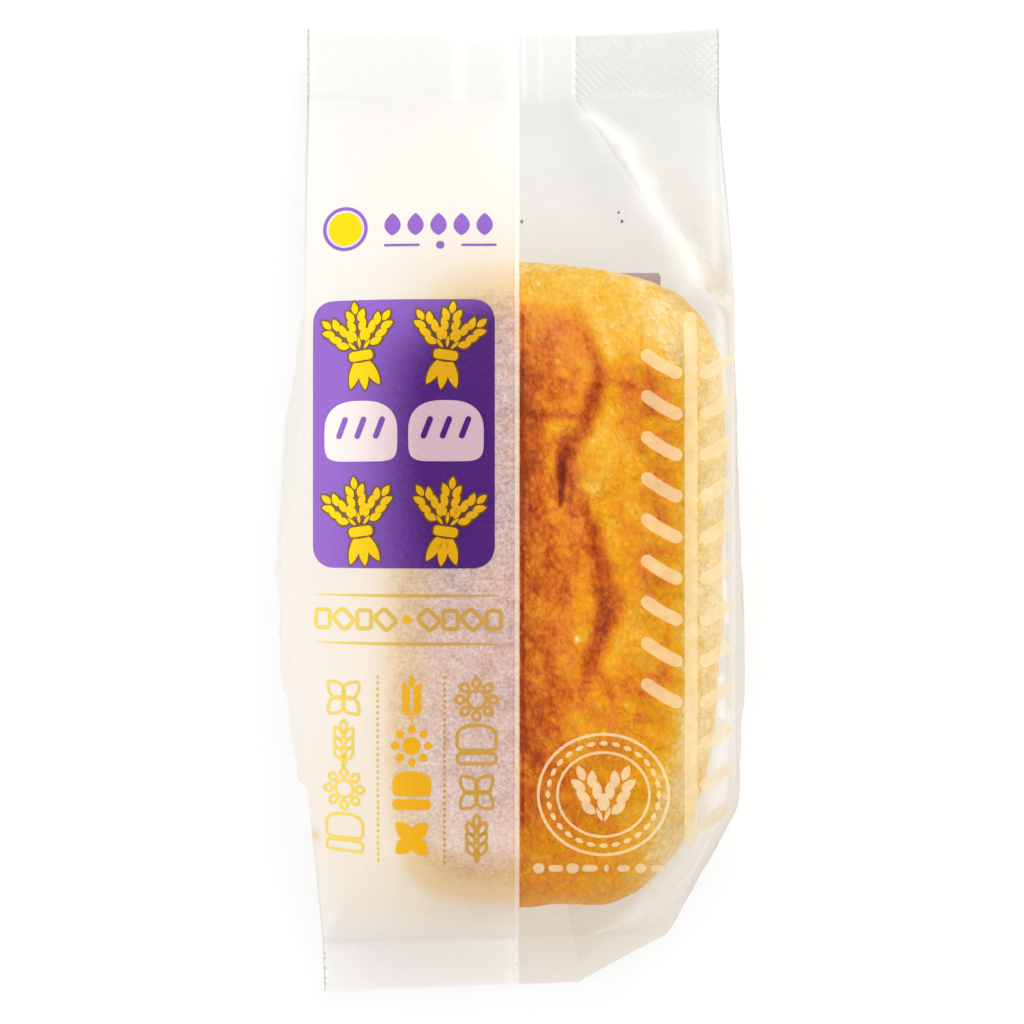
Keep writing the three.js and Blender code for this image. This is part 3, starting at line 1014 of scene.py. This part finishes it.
class Print(Sheets):
    """Shapes of one ink on the front or the back panel."""

    def __init__(self, lift, place=on_front):
        super().__init__()
        self.place, self.lift = place, lift

    def lay(self, plan, above=0.0):
        self.add(self.place(plan, self.lift + above))

    def fill(self, outline, grow=0.0, above=0.0):
        """Fills an outline whose whole edge can be seen from its middle."""
        edge = even_outline(outline)
        middle = edge[:-1].mean(axis=0)
        reach = edge - middle
        if grow:
            reach = reach * (1 + grow / np.linalg.norm(reach, axis=1, keepdims=True))
        rings = max(2, int(np.linalg.norm(reach, axis=1).max()))
        t = np.linspace(0, 1, rings + 1)[:, None, None]
        self.lay(middle + t * reach[None], above)

    def line(self, outline, width):
        """A line of even width along a closed outline."""
        edge = even_outline(outline, 0.5)[:-1]
        ahead = np.roll(edge, -1, axis=0) - np.roll(edge, 1, axis=0)
        normal = np.stack([ahead[:, 1], -ahead[:, 0]], axis=-1)
        normal = normal / np.maximum(np.linalg.norm(normal, axis=1, keepdims=True), 1e-9)
        edge, normal = np.vstack([edge, edge[:1]]), np.vstack([normal, normal[:1]])
        t = np.linspace(-0.5, 0.5, 3)[:, None, None]
        self.lay(edge[None] + t * width * normal[None])

    def stroke(self, start, end, width, bend=0.0, taper=False):
        """A stroke with round ends, or one that tapers to points."""
        start, end = np.array(start, dtype=float), np.array(end, dtype=float)
        length = np.linalg.norm(end - start)
        ahead = (end - start) / length
        normal = np.array([ahead[1], -ahead[0]])
        s = np.linspace(-math.pi / 2, math.pi / 2, max(16, int(length / 0.45)))
        at = (np.sin(s) + 1) / 2 * length
        arch = np.sin(math.pi * at / length)
        if taper:
            half = width / 2 * arch**0.5
        else:
            past_end = 1 - clamp01(np.minimum(at, length - at) / (width / 2))
            half = width / 2 * np.sqrt(1 - past_end**2)
        middle = start + ahead * at[:, None] + normal * (bend * arch)[:, None]
        onward = np.gradient(middle, axis=0)
        aside = np.stack([onward[:, 1], -onward[:, 0]], axis=-1)
        aside = aside / np.linalg.norm(onward, axis=1, keepdims=True)
        t = np.linspace(1, -1, max(5, int(width / 0.4) + 1))[:, None, None]
        self.lay(middle[None] + t * (half[:, None] * aside)[None])


def ear_of_wheat(centre, size, turn=0.0):
    """Outlines of the grains of an ear: three pairs, one at the tip, and a stem."""
    grains = [
        leaf((0.3 * side, -0.42 + 0.5 * pair), 0.72, 0.4, -28 * side)
        for pair, side in itertools.product(range(3), (-1, 1))
    ]
    grains += [leaf((0, 0.98), 0.66, 0.36), leaf((0, -0.82), 0.6, 0.17)]
    return [turned(grain * size, turn) * 0.82 + centre for grain in grains]


def sheaf(centre, turn):
    """Three ears and their stems, fanned out, and the band round them, in outlines."""
    ears, stems = [], []
    for lean in (-42, 42, 0):
        for grain in ear_of_wheat((0.0, 0.72 * MOTIF), 0.62 * MOTIF):
            ears.append(turned(grain, -lean))
    for lean in (-24, 24, 0):
        stems.append(turned(leaf((0, -0.5 * MOTIF), 0.95 * MOTIF, 0.28 * MOTIF), -lean))
    band = rounded_rectangle((0, -0.06 * MOTIF), 0.32 * MOTIF, 0.13 * MOTIF, 0.1 * MOTIF)
    move = np.array(centre) + (0, -0.25 * MOTIF)
    return [turned(shape, turn) + move for shape in ears + stems], turned(band, turn) + move


def print_front_panel(inks):
    x, y, half_width, half_height, radius = PURPLE_PANEL
    inks["panel"].fill(rounded_rectangle((x, y), half_width, half_height, radius))
    for column, turn in zip(PANEL_COLUMNS, (8, -8)):
        for row in (PANEL_ROWS[0], PANEL_ROWS[2]):
            shapes, band = sheaf((column, row), turn)
            for ink, grow in (("outline", OUTLINE_WIDTH), ("yellow", 0.0)):
                for shape in shapes:
                    inks[ink].fill(shape, grow)
                inks[ink].fill(band, grow, BAND_LIFT)
        inks["white"].fill(bun((column, PANEL_ROWS[1]), *BUN_SIZE))
        for cut in BUN_CUTS:
            x = column + cut
            inks["cuts"].stroke((x - 0.9, PANEL_ROWS[1] - 1.6), (x + 0.9, PANEL_ROWS[1] + 3.0), 1.2)


def print_heading(inks):
    """A small disc and a row of leaves over a thin broken rule."""
    purple = inks["panel_line"]
    inks["yellow"].fill(circle(HEADING_DISC, 3.6))
    purple.line(circle(HEADING_DISC, 4.5), 0.75)
    for i in range(5):
        purple.fill(leaf(HEADING_LEAVES + (4.9 * i, 0), 5.0, 3.6))
    for start, end in ((-27.2, -19.5), (-10.8, -3.2)):
        purple.stroke((start, HEADING_RULE), (end, HEADING_RULE), 0.55)
    purple.fill(circle((-15.2, HEADING_RULE), 0.9, count=14))


def gold_shapes(kind):
    """Outlines of one of four plain motifs, about 9 mm high."""
    if kind == 0:
        return [turned(leaf((0, 2.35), 4.7, 3.3), 45 + 90 * quarter) for quarter in range(4)]
    if kind == 1:
        return ear_of_wheat((0.0, -0.3), 5.0)
    if kind == 2:
        rays = [turned(leaf((0, 3.5), 2.0, 1.7), 45 * eighth) for eighth in range(8)]
        return [circle((0.0, 0.0), 1.9, count=20), *rays]
    return [bun((0.0, 1.7), 4.1, 2.6), rounded_rectangle((0, -2.6), 4.1, 1.1, 0.9)]


def print_gold(inks):
    solid, fine = inks["gold"], inks["gold_line"]
    for y in GOLD_LINES:
        fine.stroke((GOLD_LINE_ENDS[0], y), (GOLD_LINE_ENDS[1], y), 0.62, taper=True)
    for i in range(LINKS):
        at = np.array([LINKS_START + LINK_PITCH * i, sum(GOLD_LINES) / 2])
        if i == LINKS // 2:
            solid.fill(circle(at, 0.9, count=14))
        else:
            fine.line(rounded_rectangle(at, 1.5, 1.9, 0.5, turn=45 * (i % 2)), 0.85)
    for column, x in enumerate(GOLD_COLUMNS):
        for row, y in enumerate(GOLD_ROWS):
            for shape in gold_shapes((row + column) % 4):
                if column == 1:
                    solid.fill(shape + (x, y))
                else:
                    fine.line(shape + (x, y), 0.68)
    for x in DOTTED_LINES:
        for y in np.arange(*DOTS):
            fine.fill(circle((x, y), 0.3, 0.42, count=8))


def print_on_film(inks):
    """A tall spray of rounded strokes, a round stamp and a row of short dashes."""
    cream = inks["cream"]
    top, foot = STRIP_ENDS
    cream.stroke((STRIP_X, foot), (STRIP_X, top), STRIP_LINE)
    clear = STRIP_LINE / 2 + 0.5
    for y in np.arange(foot + 4, top - 5, STRIP_PITCH):
        if y > STAMP[1] + STAMP_OUTER[1] - 2:
            cream.stroke((STRIP_X - clear, y), (STRIP_X - 10.2, y + 5.0), STRIP_LINE, bend=-0.4)
        cream.stroke((STRIP_X + clear, y), (STRIP_X + 8.4, y + 4.0), STRIP_LINE, bend=0.4)
    fine = inks["cream_line"]
    fine.line(circle(STAMP, *STAMP_OUTER, count=90), 0.62)
    fine.line(circle(STAMP, *STAMP_INNER, count=70), 0.55)
    for angle in np.linspace(0, 2 * math.pi, 29)[:-1]:
        middle = np.array(STAMP_GRAINS) * (math.cos(angle), math.sin(angle))
        fine.fill(turned(leaf((0, 0), 1.9, 1.0), math.degrees(angle)) + middle + STAMP)
    for side in (-1, 1):
        for grain in ear_of_wheat(np.array(STAMP) + (2.6 * side, -0.2), 6.4, -24 * side):
            fine.fill(grain)
    for i, width in enumerate(DASH_WIDTHS):
        x = DASHES_START + DASH_PITCH * i
        fine.stroke((x - width / 2, DASHES_Y), (x + width / 2, DASHES_Y), 1.5 if i % 2 else 2.3)


def make_prints():
    purple = ink_material("purple_ink", srgb(136, 94, 184), srgb(64, 20, 100), 0.95)
    gold = ink_material("gold_ink", srgb(222, 172, 26), srgb(208, 150, 14), 0.95)
    fine_gold = ink_material("fine_gold_ink", srgb(224, 198, 92), srgb(182, 138, 56), 0.9)
    yellow = ink_material("yellow_ink", srgb(226, 195, 4), srgb(192, 142, 6), 1.0)
    white = ink_material("white_ink", srgb(224, 213, 209), srgb(180, 152, 162), 1.0)
    brown = ink_material("brown_ink", srgb(118, 88, 52), srgb(88, 56, 28), 1.0)
    cream, fine_cream = cream_material("cream_ink", 0.5), cream_material("fine_cream_ink", 0.6)
    looks = {  # lift above the bag in mm, material and slot
        "panel": (0.06, purple, "purple_print"),
        "panel_line": (0.06, purple, "purple_print"),
        "outline": (0.14, brown, "gold_print"),
        "yellow": (0.22, yellow, "gold_print"),
        "white": (0.14, white, "cream_print"),
        "cuts": (0.22, purple, "purple_print"),
        "gold": (0.06, gold, "gold_print"),
        "gold_line": (0.06, fine_gold, "gold_print"),
        "cream": (0.42, cream, "cream_print"),
        "cream_line": (0.5, fine_cream, "cream_print"),
    }
    inks = {name: Print(lift) for name, (lift, _, _) in looks.items()}
    print_front_panel(inks)
    print_heading(inks)
    print_gold(inks)
    print_on_film(inks)
    for name, ink in inks.items():
        mark_painted_shade(ink.piece("print_" + name, *looks[name][1:]))


def mark_painted_shade(piece):
    """Marks each point of a print with how much painted shade the loaf behind it puts there."""
    place = point_rows(piece, "co") / MM
    mark(piece, "close", ink_shade(place[:, 0], place[:, 1]))


def ink_shade(x, y):
    """How much painted shade the loaf behind it puts on a print: the shade sets in before the loaf's own
    edge, and a painted glow lightens it near the top end.
    """
    inset = loaf_inset(x, y)
    lit = at_top_end(y) * (1 - ease((inset - 4.0) / 12.0))
    return ease((inset + 14.0) / 28.0) * (1 - 0.5 * lit)


# ---- Back of the bag, tucked corner and crumbs ----
SEAM_WIDTH = 9.0
SEAM_LAYERS = (0.08, 0.3)  # heights of the folded seam's two layers above the table
SEAM_RIB_PITCH = 1.1
BACK_FLAT_END = 96.0  # past this the seam is pressed against the seals
LOWEST = 0.02  # nothing at the back comes nearer the table than this
FLAP_FOLD = ((45.5, -64.0), (14.6, -101.0))
FLAP_TIP = np.array([8.5, -68.0])
JOINT_LAP = 1.05
JOINT_LIFT = 0.25
CRUMBS = [(23.4, 65.8, 0.3, 0.8), (24.2, 63.9, 0.36, 1.0), (2.2, 63.8, 0.4, 0.6)]  # x, y, radius, how dark
BACK_PRINT_LIFT = -0.15  # it is on the outside of the back panel
TABLE_LINES = 9
TABLE_TOP, TABLE_STEP = 37.0, 4.6
TABLE_COLUMNS = ((4.0, 6.0), (15.5, 4.0), (25.5, 5.0))  # where each column's dashes start, and their length


def make_back_seam(material):
    """The webs' back edges are sealed together in a fin, which is folded flat to one side."""
    y = web_rows()[::2]
    w = np.linspace(0, 1, 16)[None, :]
    sheets = Sheets()
    for layer, height in enumerate(SEAM_LAYERS):
        x = SEAM_X - w * (SEAM_WIDTH - 0.3 * layer) + 0 * y
        rise = under_height(0 * x, y) - BACK_LIFT * (1 - clamp01(in_seals(y)))
        ribs = 0.05 * np.sin(2 * math.pi * y / SEAM_RIB_PITCH) * window(w, 0.25, 0.95, 0.08)
        z = rise + height + np.where(np.abs(y) > BACK_FLAT_END, -0.35, ribs)
        sheets.add(spots(x, squared_up(x, y), np.maximum(z, LOWEST)), flip=True)
    sheets.piece("back_seam", material, "matte_paper")


def make_tucked_corner(material):
    """The bottom right corner of the seal, folded flat under the bag."""
    along, across = np.linspace(0, 1, 40)[:, None], np.linspace(0, 1, 26)[None, :, None]
    edge = mix(*np.array(FLAP_FOLD), along)
    inward = mix(FLAP_TIP, edge, 0.15)
    plan = mix(edge[:, None, :], inward[:, None, :], across)
    x, y = plan[..., 0], plan[..., 1]
    wave = 0.06 * noise(spots(x, y), 6.0, 91)
    height = under_height(np.minimum(x, crease_right(y) - CURL_WIDTH), y)
    z = np.clip(0.5 * height * ease((-86 - y) / 8) + 0.2 + wave, 0.03, None)
    sheets = Sheets()
    sheets.add(spots(x, squared_up(x, y), z), flip=True)
    sheets.piece("tucked_corner", material, "clear_film")


def make_joint(material):
    """The narrow seal where the film laps over the paper's edge."""
    y = web_rows()
    x = JOINT_X + np.linspace(-JOINT_LAP, -0.15, 5)[None, :] + 0 * y
    sheets = Sheets()
    sheets.add(on_front(np.stack([x, y + 0 * x], axis=-1), JOINT_LIFT))
    mark_painted_shade(sheets.piece("joint_seal", material, "matte_paper"))


def crumb(rng, centre, radius):
    """An angular crumb: a cube with its corners pulled about."""
    corners = np.array(list(itertools.product((-1, 1), repeat=3)), dtype=float)
    corners = corners * rng.uniform(0.45, 1.0, (8, 3)) * radius
    turn = rng.uniform(0, 180)
    corners[:, :2] = turned(corners[:, :2], turn)
    faces = [(0, 1, 3, 2), (4, 6, 7, 5), (0, 4, 5, 1), (2, 3, 7, 6), (0, 2, 6, 4), (1, 5, 7, 3)]
    return corners + centre, faces


def make_crumbs(material):
    rng = np.random.default_rng(12)
    points, faces, tone = [], [], []
    for x, y, radius, dark in CRUMBS:
        base = under_height(np.array(x), np.array(y)) + 0.25
        crumb_points, crumb_faces = crumb(rng, np.array([x, y, base + radius]), radius)
        faces += [tuple(i + len(points) * 8 for i in face) for face in crumb_faces]
        points.append(crumb_points)
        tone += [dark] * 8
    made = build_mesh("crumbs", np.concatenate(points), faces, material, {"dark": tone})
    made.data.polygons.foreach_set("use_smooth", [False] * len(made.data.polygons))
    belongs(made)


def make_back_print():
    """A plain ruled table on the back panel, with a purple head that shows past the loaf's end."""
    purple = ink_material("back_purple_ink", srgb(216, 200, 220), srgb(190, 172, 204), 1.0)
    grey = ink_material("grey_ink", srgb(150, 140, 160), srgb(140, 130, 150), 1.0)
    head, rules = Print(BACK_PRINT_LIFT, on_back), Print(BACK_PRINT_LIFT, on_back)
    head.fill(rounded_rectangle((17.5, 46.8), 15.2, 5.8, 0.8))
    for i in range(TABLE_LINES):
        line = TABLE_TOP - TABLE_STEP * i
        rules.stroke((2.6, line), (32.4, line), 0.35)
        for start, length in TABLE_COLUMNS:
            rules.stroke((start, line + 2.2), (start + length, line + 2.2), 1.1)
    for name, ink, material in (("head", head, purple), ("rules", rules, grey)):
        mark_painted_shade(ink.piece("back_print_" + name, material, "purple_print"))


# ---- Materials ----
def ink_material(name, pale, deep, cover):
    """Ink on paper with painted shade: pale where the bag is empty behind it, deep where the loaf lies behind
    it.
    """
    material, tree = new_material(name)
    fibres = remap(tree, noise_node(tree, 0.9, 4, 0.7), 0.3, 0.7, -0.07, 0.07)
    tone = maths(tree, "ADD", attribute(tree, "close"), fibres, clamp=True)
    finish_material(tree, node(tree, "BsdfPrincipled", {
        "Base Color": ramp(tree, tone, (0.0, pale), (1.0, deep)),
        "Normal": bump_node(tree, 0.2, 0.2, fibres),
        "Roughness": 0.62,
        "Specular IOR Level": 0.1,
        "Alpha": cover,
    }))
    return material


def cream_material(name, cover):
    """Pale ink on the clear film, which lets some of what is behind it through."""
    material, tree = new_material(name)
    worn = remap(tree, noise_node(tree, 2.4, 2, 0.5), 0.3, 0.7, cover - 0.05, cover + 0.05)
    inputs = {"Base Color": srgb(226, 207, 164), "Roughness": 0.5, "Specular IOR Level": 0.3}
    ink = node(tree, "BsdfPrincipled", inputs)
    finish_material(tree, blended(tree, worn, node(tree, "BsdfTransparent"), ink))
    return material


def crust_material():
    """Egg-washed crust: pebbly, yellow on its flanks and deep brown in its hollows, where painted shade adds
    to its browning, with painted shade between its grains.
    """
    material, tree = new_material("baked_crust")
    brown = attribute(tree, "brown")
    pebbles = pebble_pattern(tree, 0.95)
    depth = remap(tree, brown, 0.1, 0.7, 0.35, 1.0)
    # painted shade between the grains, paler on their tops
    grain_shade = maths(tree, "MULTIPLY", remap(tree, pebbles, 0.2, 0.8, -0.05, 0.08), depth)
    grain = remap(tree, noise_node(tree, 1.6), 0.3, 0.7, -0.06, 0.06)
    tone = maths(tree, "ADD", maths(tree, "ADD", brown, grain), grain_shade, clamp=True)
    colour = ramp(
        tree, tone,
        (0.0, srgb(255, 236, 184)), (0.18, srgb(247, 198, 68)), (0.4, srgb(244, 172, 8)),
        (0.62, srgb(234, 142, 34)), (0.82, srgb(208, 102, 22)), (1.0, srgb(162, 66, 14)),
    )
    height = maths(tree, "SUBTRACT", noise_node(tree, 0.6, 3, 0.6), pebbles)
    finish_material(tree, node(tree, "BsdfPrincipled", {
        "Base Color": colour,
        "Roughness": remap(tree, grain, -0.06, 0.06, 0.48, 0.68),
        "Normal": bump_node(tree, 0.9, 0.48, height),
        "Specular IOR Level": 0.12,
    }))
    return material


def pebble_pattern(tree, size_mm):
    """Uneven grains a little longer along the loaf: 0 at their tops and about 1 between them."""
    place = node(tree, "Mapping", {"Vector": place_of(tree), "Scale": tuple(PEBBLE_STRETCH)}).outputs[0]
    swirl = node(tree, "TexNoise", {"Vector": place, "Scale": 1000 / (2 * size_mm), "Detail": 2.0})
    pull = node(tree, "VectorMath", {0: swirl.outputs["Color"], 1: (0.5, 0.5, 0.5)}, operation="SUBTRACT")
    inputs = {0: pull.outputs[0], "Scale": 2 * size_mm * MM}
    shift = node(tree, "VectorMath", inputs, operation="SCALE")
    warped = node(tree, "VectorMath", {0: place, 1: shift.outputs[0]}, operation="ADD")
    grains = node(tree, "TexVoronoi", {"Vector": warped.outputs[0], "Scale": 1000 / size_mm})
    return grains.outputs["Distance"]


def crumb_material():
    """Burnt specks of crust, dulled by the film over them."""
    material, tree = new_material("burnt_crumb")
    grain = remap(tree, noise_node(tree, 0.3), 0.3, 0.7, -0.2, 0.2)
    tone = maths(tree, "ADD", attribute(tree, "dark"), grain, clamp=True)
    colour = ramp(tree, tone, (0.0, srgb(196, 182, 166)), (1.0, srgb(112, 104, 98)))
    finish_material(tree, node(tree, "BsdfPrincipled", {"Base Color": colour, "Roughness": 0.7}))
    return material


def film_material():
    """Thin film: nearly clear, milky in its seals and where its layers lie together, whitened by painted
    highlights along its folds, creases and crimp ribs, warmed and dimmed near the loaf by painted bounce
    light and shade, with a soft gloss.
    """
    material, tree = new_material("clear_film")
    streaks = remap(tree, noise_node(tree, 5.0, 5, 0.6, (1, 0.35, 1)), 0.35, 0.7, -0.008, 0.014)
    # the crimp's ribs are whitened as well as bumped: a painted highlight on their ridges
    crimp = maths(tree, "MULTIPLY", attribute(tree, "ribbed"), diagonal_ribs(tree))
    milky = maths(tree, "ADD", attribute(tree, "white"), streaks)
    cover = maths(tree, "ADD", milky, crimp, clamp=True)
    ripples = bump_node(tree, 0.3, 0.5, noise_node(tree, 4.0))
    relief = bump_node(tree, 0.5, 0.2, crimp, Normal=ripples)
    white = {"Normal": relief, "Color": srgb(238, 238, 236)}
    milk = blended(tree, 0.3, node(tree, "BsdfDiffuse", white), node(tree, "BsdfTranslucent", white))
    # the clear tint is warmed and dimmed near the loaf: painted bounce light and shade from the loaf
    plain, warm = (0.956, 0.954, 0.946, 1), (0.892, 0.832, 0.752, 1)
    tint = ramp(tree, attribute(tree, "warm"), (0.0, plain), (1.0, warm))
    body = blended(tree, cover, node(tree, "BsdfTransparent", {"Color": tint}), milk)
    gloss = node(tree, "BsdfAnisotropic", {"Normal": relief, "Roughness": 0.32})
    fresnel = node(tree, "Fresnel", {"IOR": 1.19, "Normal": relief}).outputs[0]
    finish_material(tree, blended(tree, maths(tree, "MINIMUM", fresnel, 0.25), body, gloss))
    return material


def diagonal_ribs(tree):
    """Slanting ribs, from 0 to 1, that fade in and out along their length."""
    axes = node(tree, "SeparateXYZ", {"Vector": place_of(tree)})
    per_metre = 2 * math.pi / (KNURL_PITCH * MM)
    across = maths(tree, "MULTIPLY_ADD", axes.outputs["Y"], KNURL_SLOPE, axes.outputs["X"])
    ribs = maths(tree, "SINE", maths(tree, "MULTIPLY", across, per_metre))
    fade = remap(tree, noise_node(tree, 9.0, 2), 0.35, 0.65, 0.4, 1.0)
    return maths(tree, "MULTIPLY", remap(tree, ribs, -0.3, 0.9, 0.0, 1.0), fade)


def seal_material():
    """Film melted into paper: a whitish line that lets a little through, partly a painted highlight along the
    paper's edge, and darkened by painted shade where the loaf lies behind it.
    """
    material, tree = new_material("joint_seal")
    cloudy = remap(tree, noise_node(tree, 1.2), 0.3, 0.7, 0.45, 0.7)
    # painted shade: the line darkens and warms where the loaf lies behind it
    tone = ramp(tree, attribute(tree, "close"), (0.2, srgb(238, 236, 233)), (0.9, srgb(226, 206, 184)))
    milk = node(tree, "BsdfDiffuse", {"Color": tone})
    finish_material(tree, blended(tree, cloudy, node(tree, "BsdfTransparent"), milk))
    return material


def warmed(tree, colour):
    """The colour with the loaf's painted warm light multiplied in, more where the warm attribute is higher.
    """
    tint = ramp(tree, attribute(tree, "warm"), (0.0, (1, 1, 1, 1)), (1.0, (0.91, 0.74, 0.47, 1)))
    inputs = {"Factor": 1.0, 6: colour, 7: tint}
    return node(tree, "Mix", inputs, data_type="RGBA", blend_type="MULTIPLY").outputs[2]


def paper_material():
    """Fibrous greaseproof paper: clearer where it touches the loaf, and darkened there by painted shade from
    the loaf behind it, so it is whiter where it hangs free.
    """
    material, tree = new_material("matte_paper")
    close = attribute(tree, "close")
    fibres = noise_node(tree, 0.8, 4, 0.75)
    thin_fibres = remap(tree, fibres, 0.34, 0.66, 0.02, 0.44)
    thin_patches = remap(tree, noise_node(tree, 2.6, 3, 0.6), 0.35, 0.65, 0.0, 0.2)
    thin = maths(tree, "ADD", thin_fibres, thin_patches)
    near = remap(tree, attribute(tree, "near"), 0.0, 1.0, 0.06, 1.15)
    through = maths(tree, "MULTIPLY", thin, near, clamp=True)
    relief = bump_node(tree, 0.15, 0.3, fibres)
    # painted shade: both sides of the paper are darker and pinker where the loaf lies close behind
    near_side = ramp(tree, close, (0.1, srgb(237, 236, 234)), (1.0, srgb(224, 216, 217)))
    far_side = ramp(tree, close, (0.1, srgb(241, 239, 235)), (1.0, srgb(196, 188, 188)))
    front = node(tree, "BsdfDiffuse", {"Normal": relief, "Color": warmed(tree, near_side)})
    lit_through = node(tree, "BsdfTranslucent", {"Normal": relief, "Color": warmed(tree, far_side)})
    share = remap(tree, attribute(tree, "layers"), 0.0, 1.0, 0.32, 0.14)
    sheet = blended(tree, share, front, lit_through)
    finish_material(tree, blended(tree, through, sheet, node(tree, "BsdfTransparent")))
    return material


# ---- Camera, floor and light ----
CAMERA_HEIGHT = 850.0
FRAME_WIDTH = 225.4  # how much of the table the photograph's frame takes in
SENSOR = 36.0
LIGHTS = {  # place and size in metres, power in watts
    "key": ((0.22, 0.62, 0.76), (0.4, 0.4), 4.7),
    "right_strip": ((0.7, 0.1, 0.45), (0.15, 0.8), 1.7),
    "left_strip": ((-0.75, -0.1, 0.3), (0.15, 0.8), 3.2),
    "foot": ((-0.1, -0.75, 0.45), (0.4, 0.2), 1.2),
}
FLOOR_HALF = 3000.0
FLOOR_DROP = 0.05  # the floor lies just under the bag


def make_camera():
    data = bpy.data.cameras.new("camera")
    data.sensor_width = SENSOR
    data.lens = SENSOR * CAMERA_HEIGHT / FRAME_WIDTH
    data.clip_start = 0.01
    data.clip_end = 10
    camera = bpy.data.objects.new("camera", data)
    camera.location = (0, 0, CAMERA_HEIGHT * MM)
    bpy.context.scene.collection.objects.link(camera)
    bpy.context.scene.camera = camera


def area_light(name, place, size, power):
    """A soft light that faces the bag."""
    data = bpy.data.lights.new(name, "AREA")
    data.shape = "RECTANGLE"
    data.size, data.size_y = size
    data.energy = power
    light = bpy.data.objects.new(name, data)
    light.location = place
    bpy.context.scene.collection.objects.link(light)
    light.rotation_mode = "QUATERNION"
    light.rotation_quaternion = (-light.location).to_track_quat("-Z", "Y")


def make_world():
    """Even white light that is stronger from low down than from above."""
    world = bpy.data.worlds.new("studio")
    bpy.context.scene.world = world
    world.use_nodes = True
    tree = world.node_tree
    background = tree.nodes["Background"]
    background.inputs["Color"].default_value = (1, 1, 1, 1)
    up = node(tree, "SeparateXYZ", {"Vector": node(tree, "TexCoord").outputs["Generated"]}).outputs["Z"]
    tree.links.new(remap(tree, up, 0.0, 0.9, 1.1, 0.62), background.inputs["Strength"])


def make_floor():
    """A floor that glows nearly white, as on a product photograph, and still takes a faint shadow."""
    material, tree = new_material("floor")
    finish_material(tree, node(tree, "BsdfPrincipled", {
        "Base Color": (0.2, 0.2, 0.2, 1),
        "Roughness": 0.9,
        "Specular IOR Level": 0.0,
        "Emission Color": (1, 1, 1, 1),
        "Emission Strength": 0.76,
    }))
    around = ((-1, -1), (1, -1), (1, 1), (-1, 1))
    corners = [(x * FLOOR_HALF, y * FLOOR_HALF, -FLOOR_DROP) for x, y in around]
    floor = build_mesh("floor", corners, [(0, 1, 2, 3)], material)


make_camera()
make_world()
for light, settings in LIGHTS.items():
    area_light(light, *settings)
bpy.context.scene.view_settings.view_transform = "Standard"
make_floor()
crust, clear_film, matte_paper = crust_material(), film_material(), paper_material()
make_loaf(crust)
make_crumbs(crumb_material())
make_film(clear_film)
make_paper(matte_paper)
make_back_seam(matte_paper)
make_tucked_corner(clear_film)
make_joint(seal_material())
make_prints()
make_back_print()
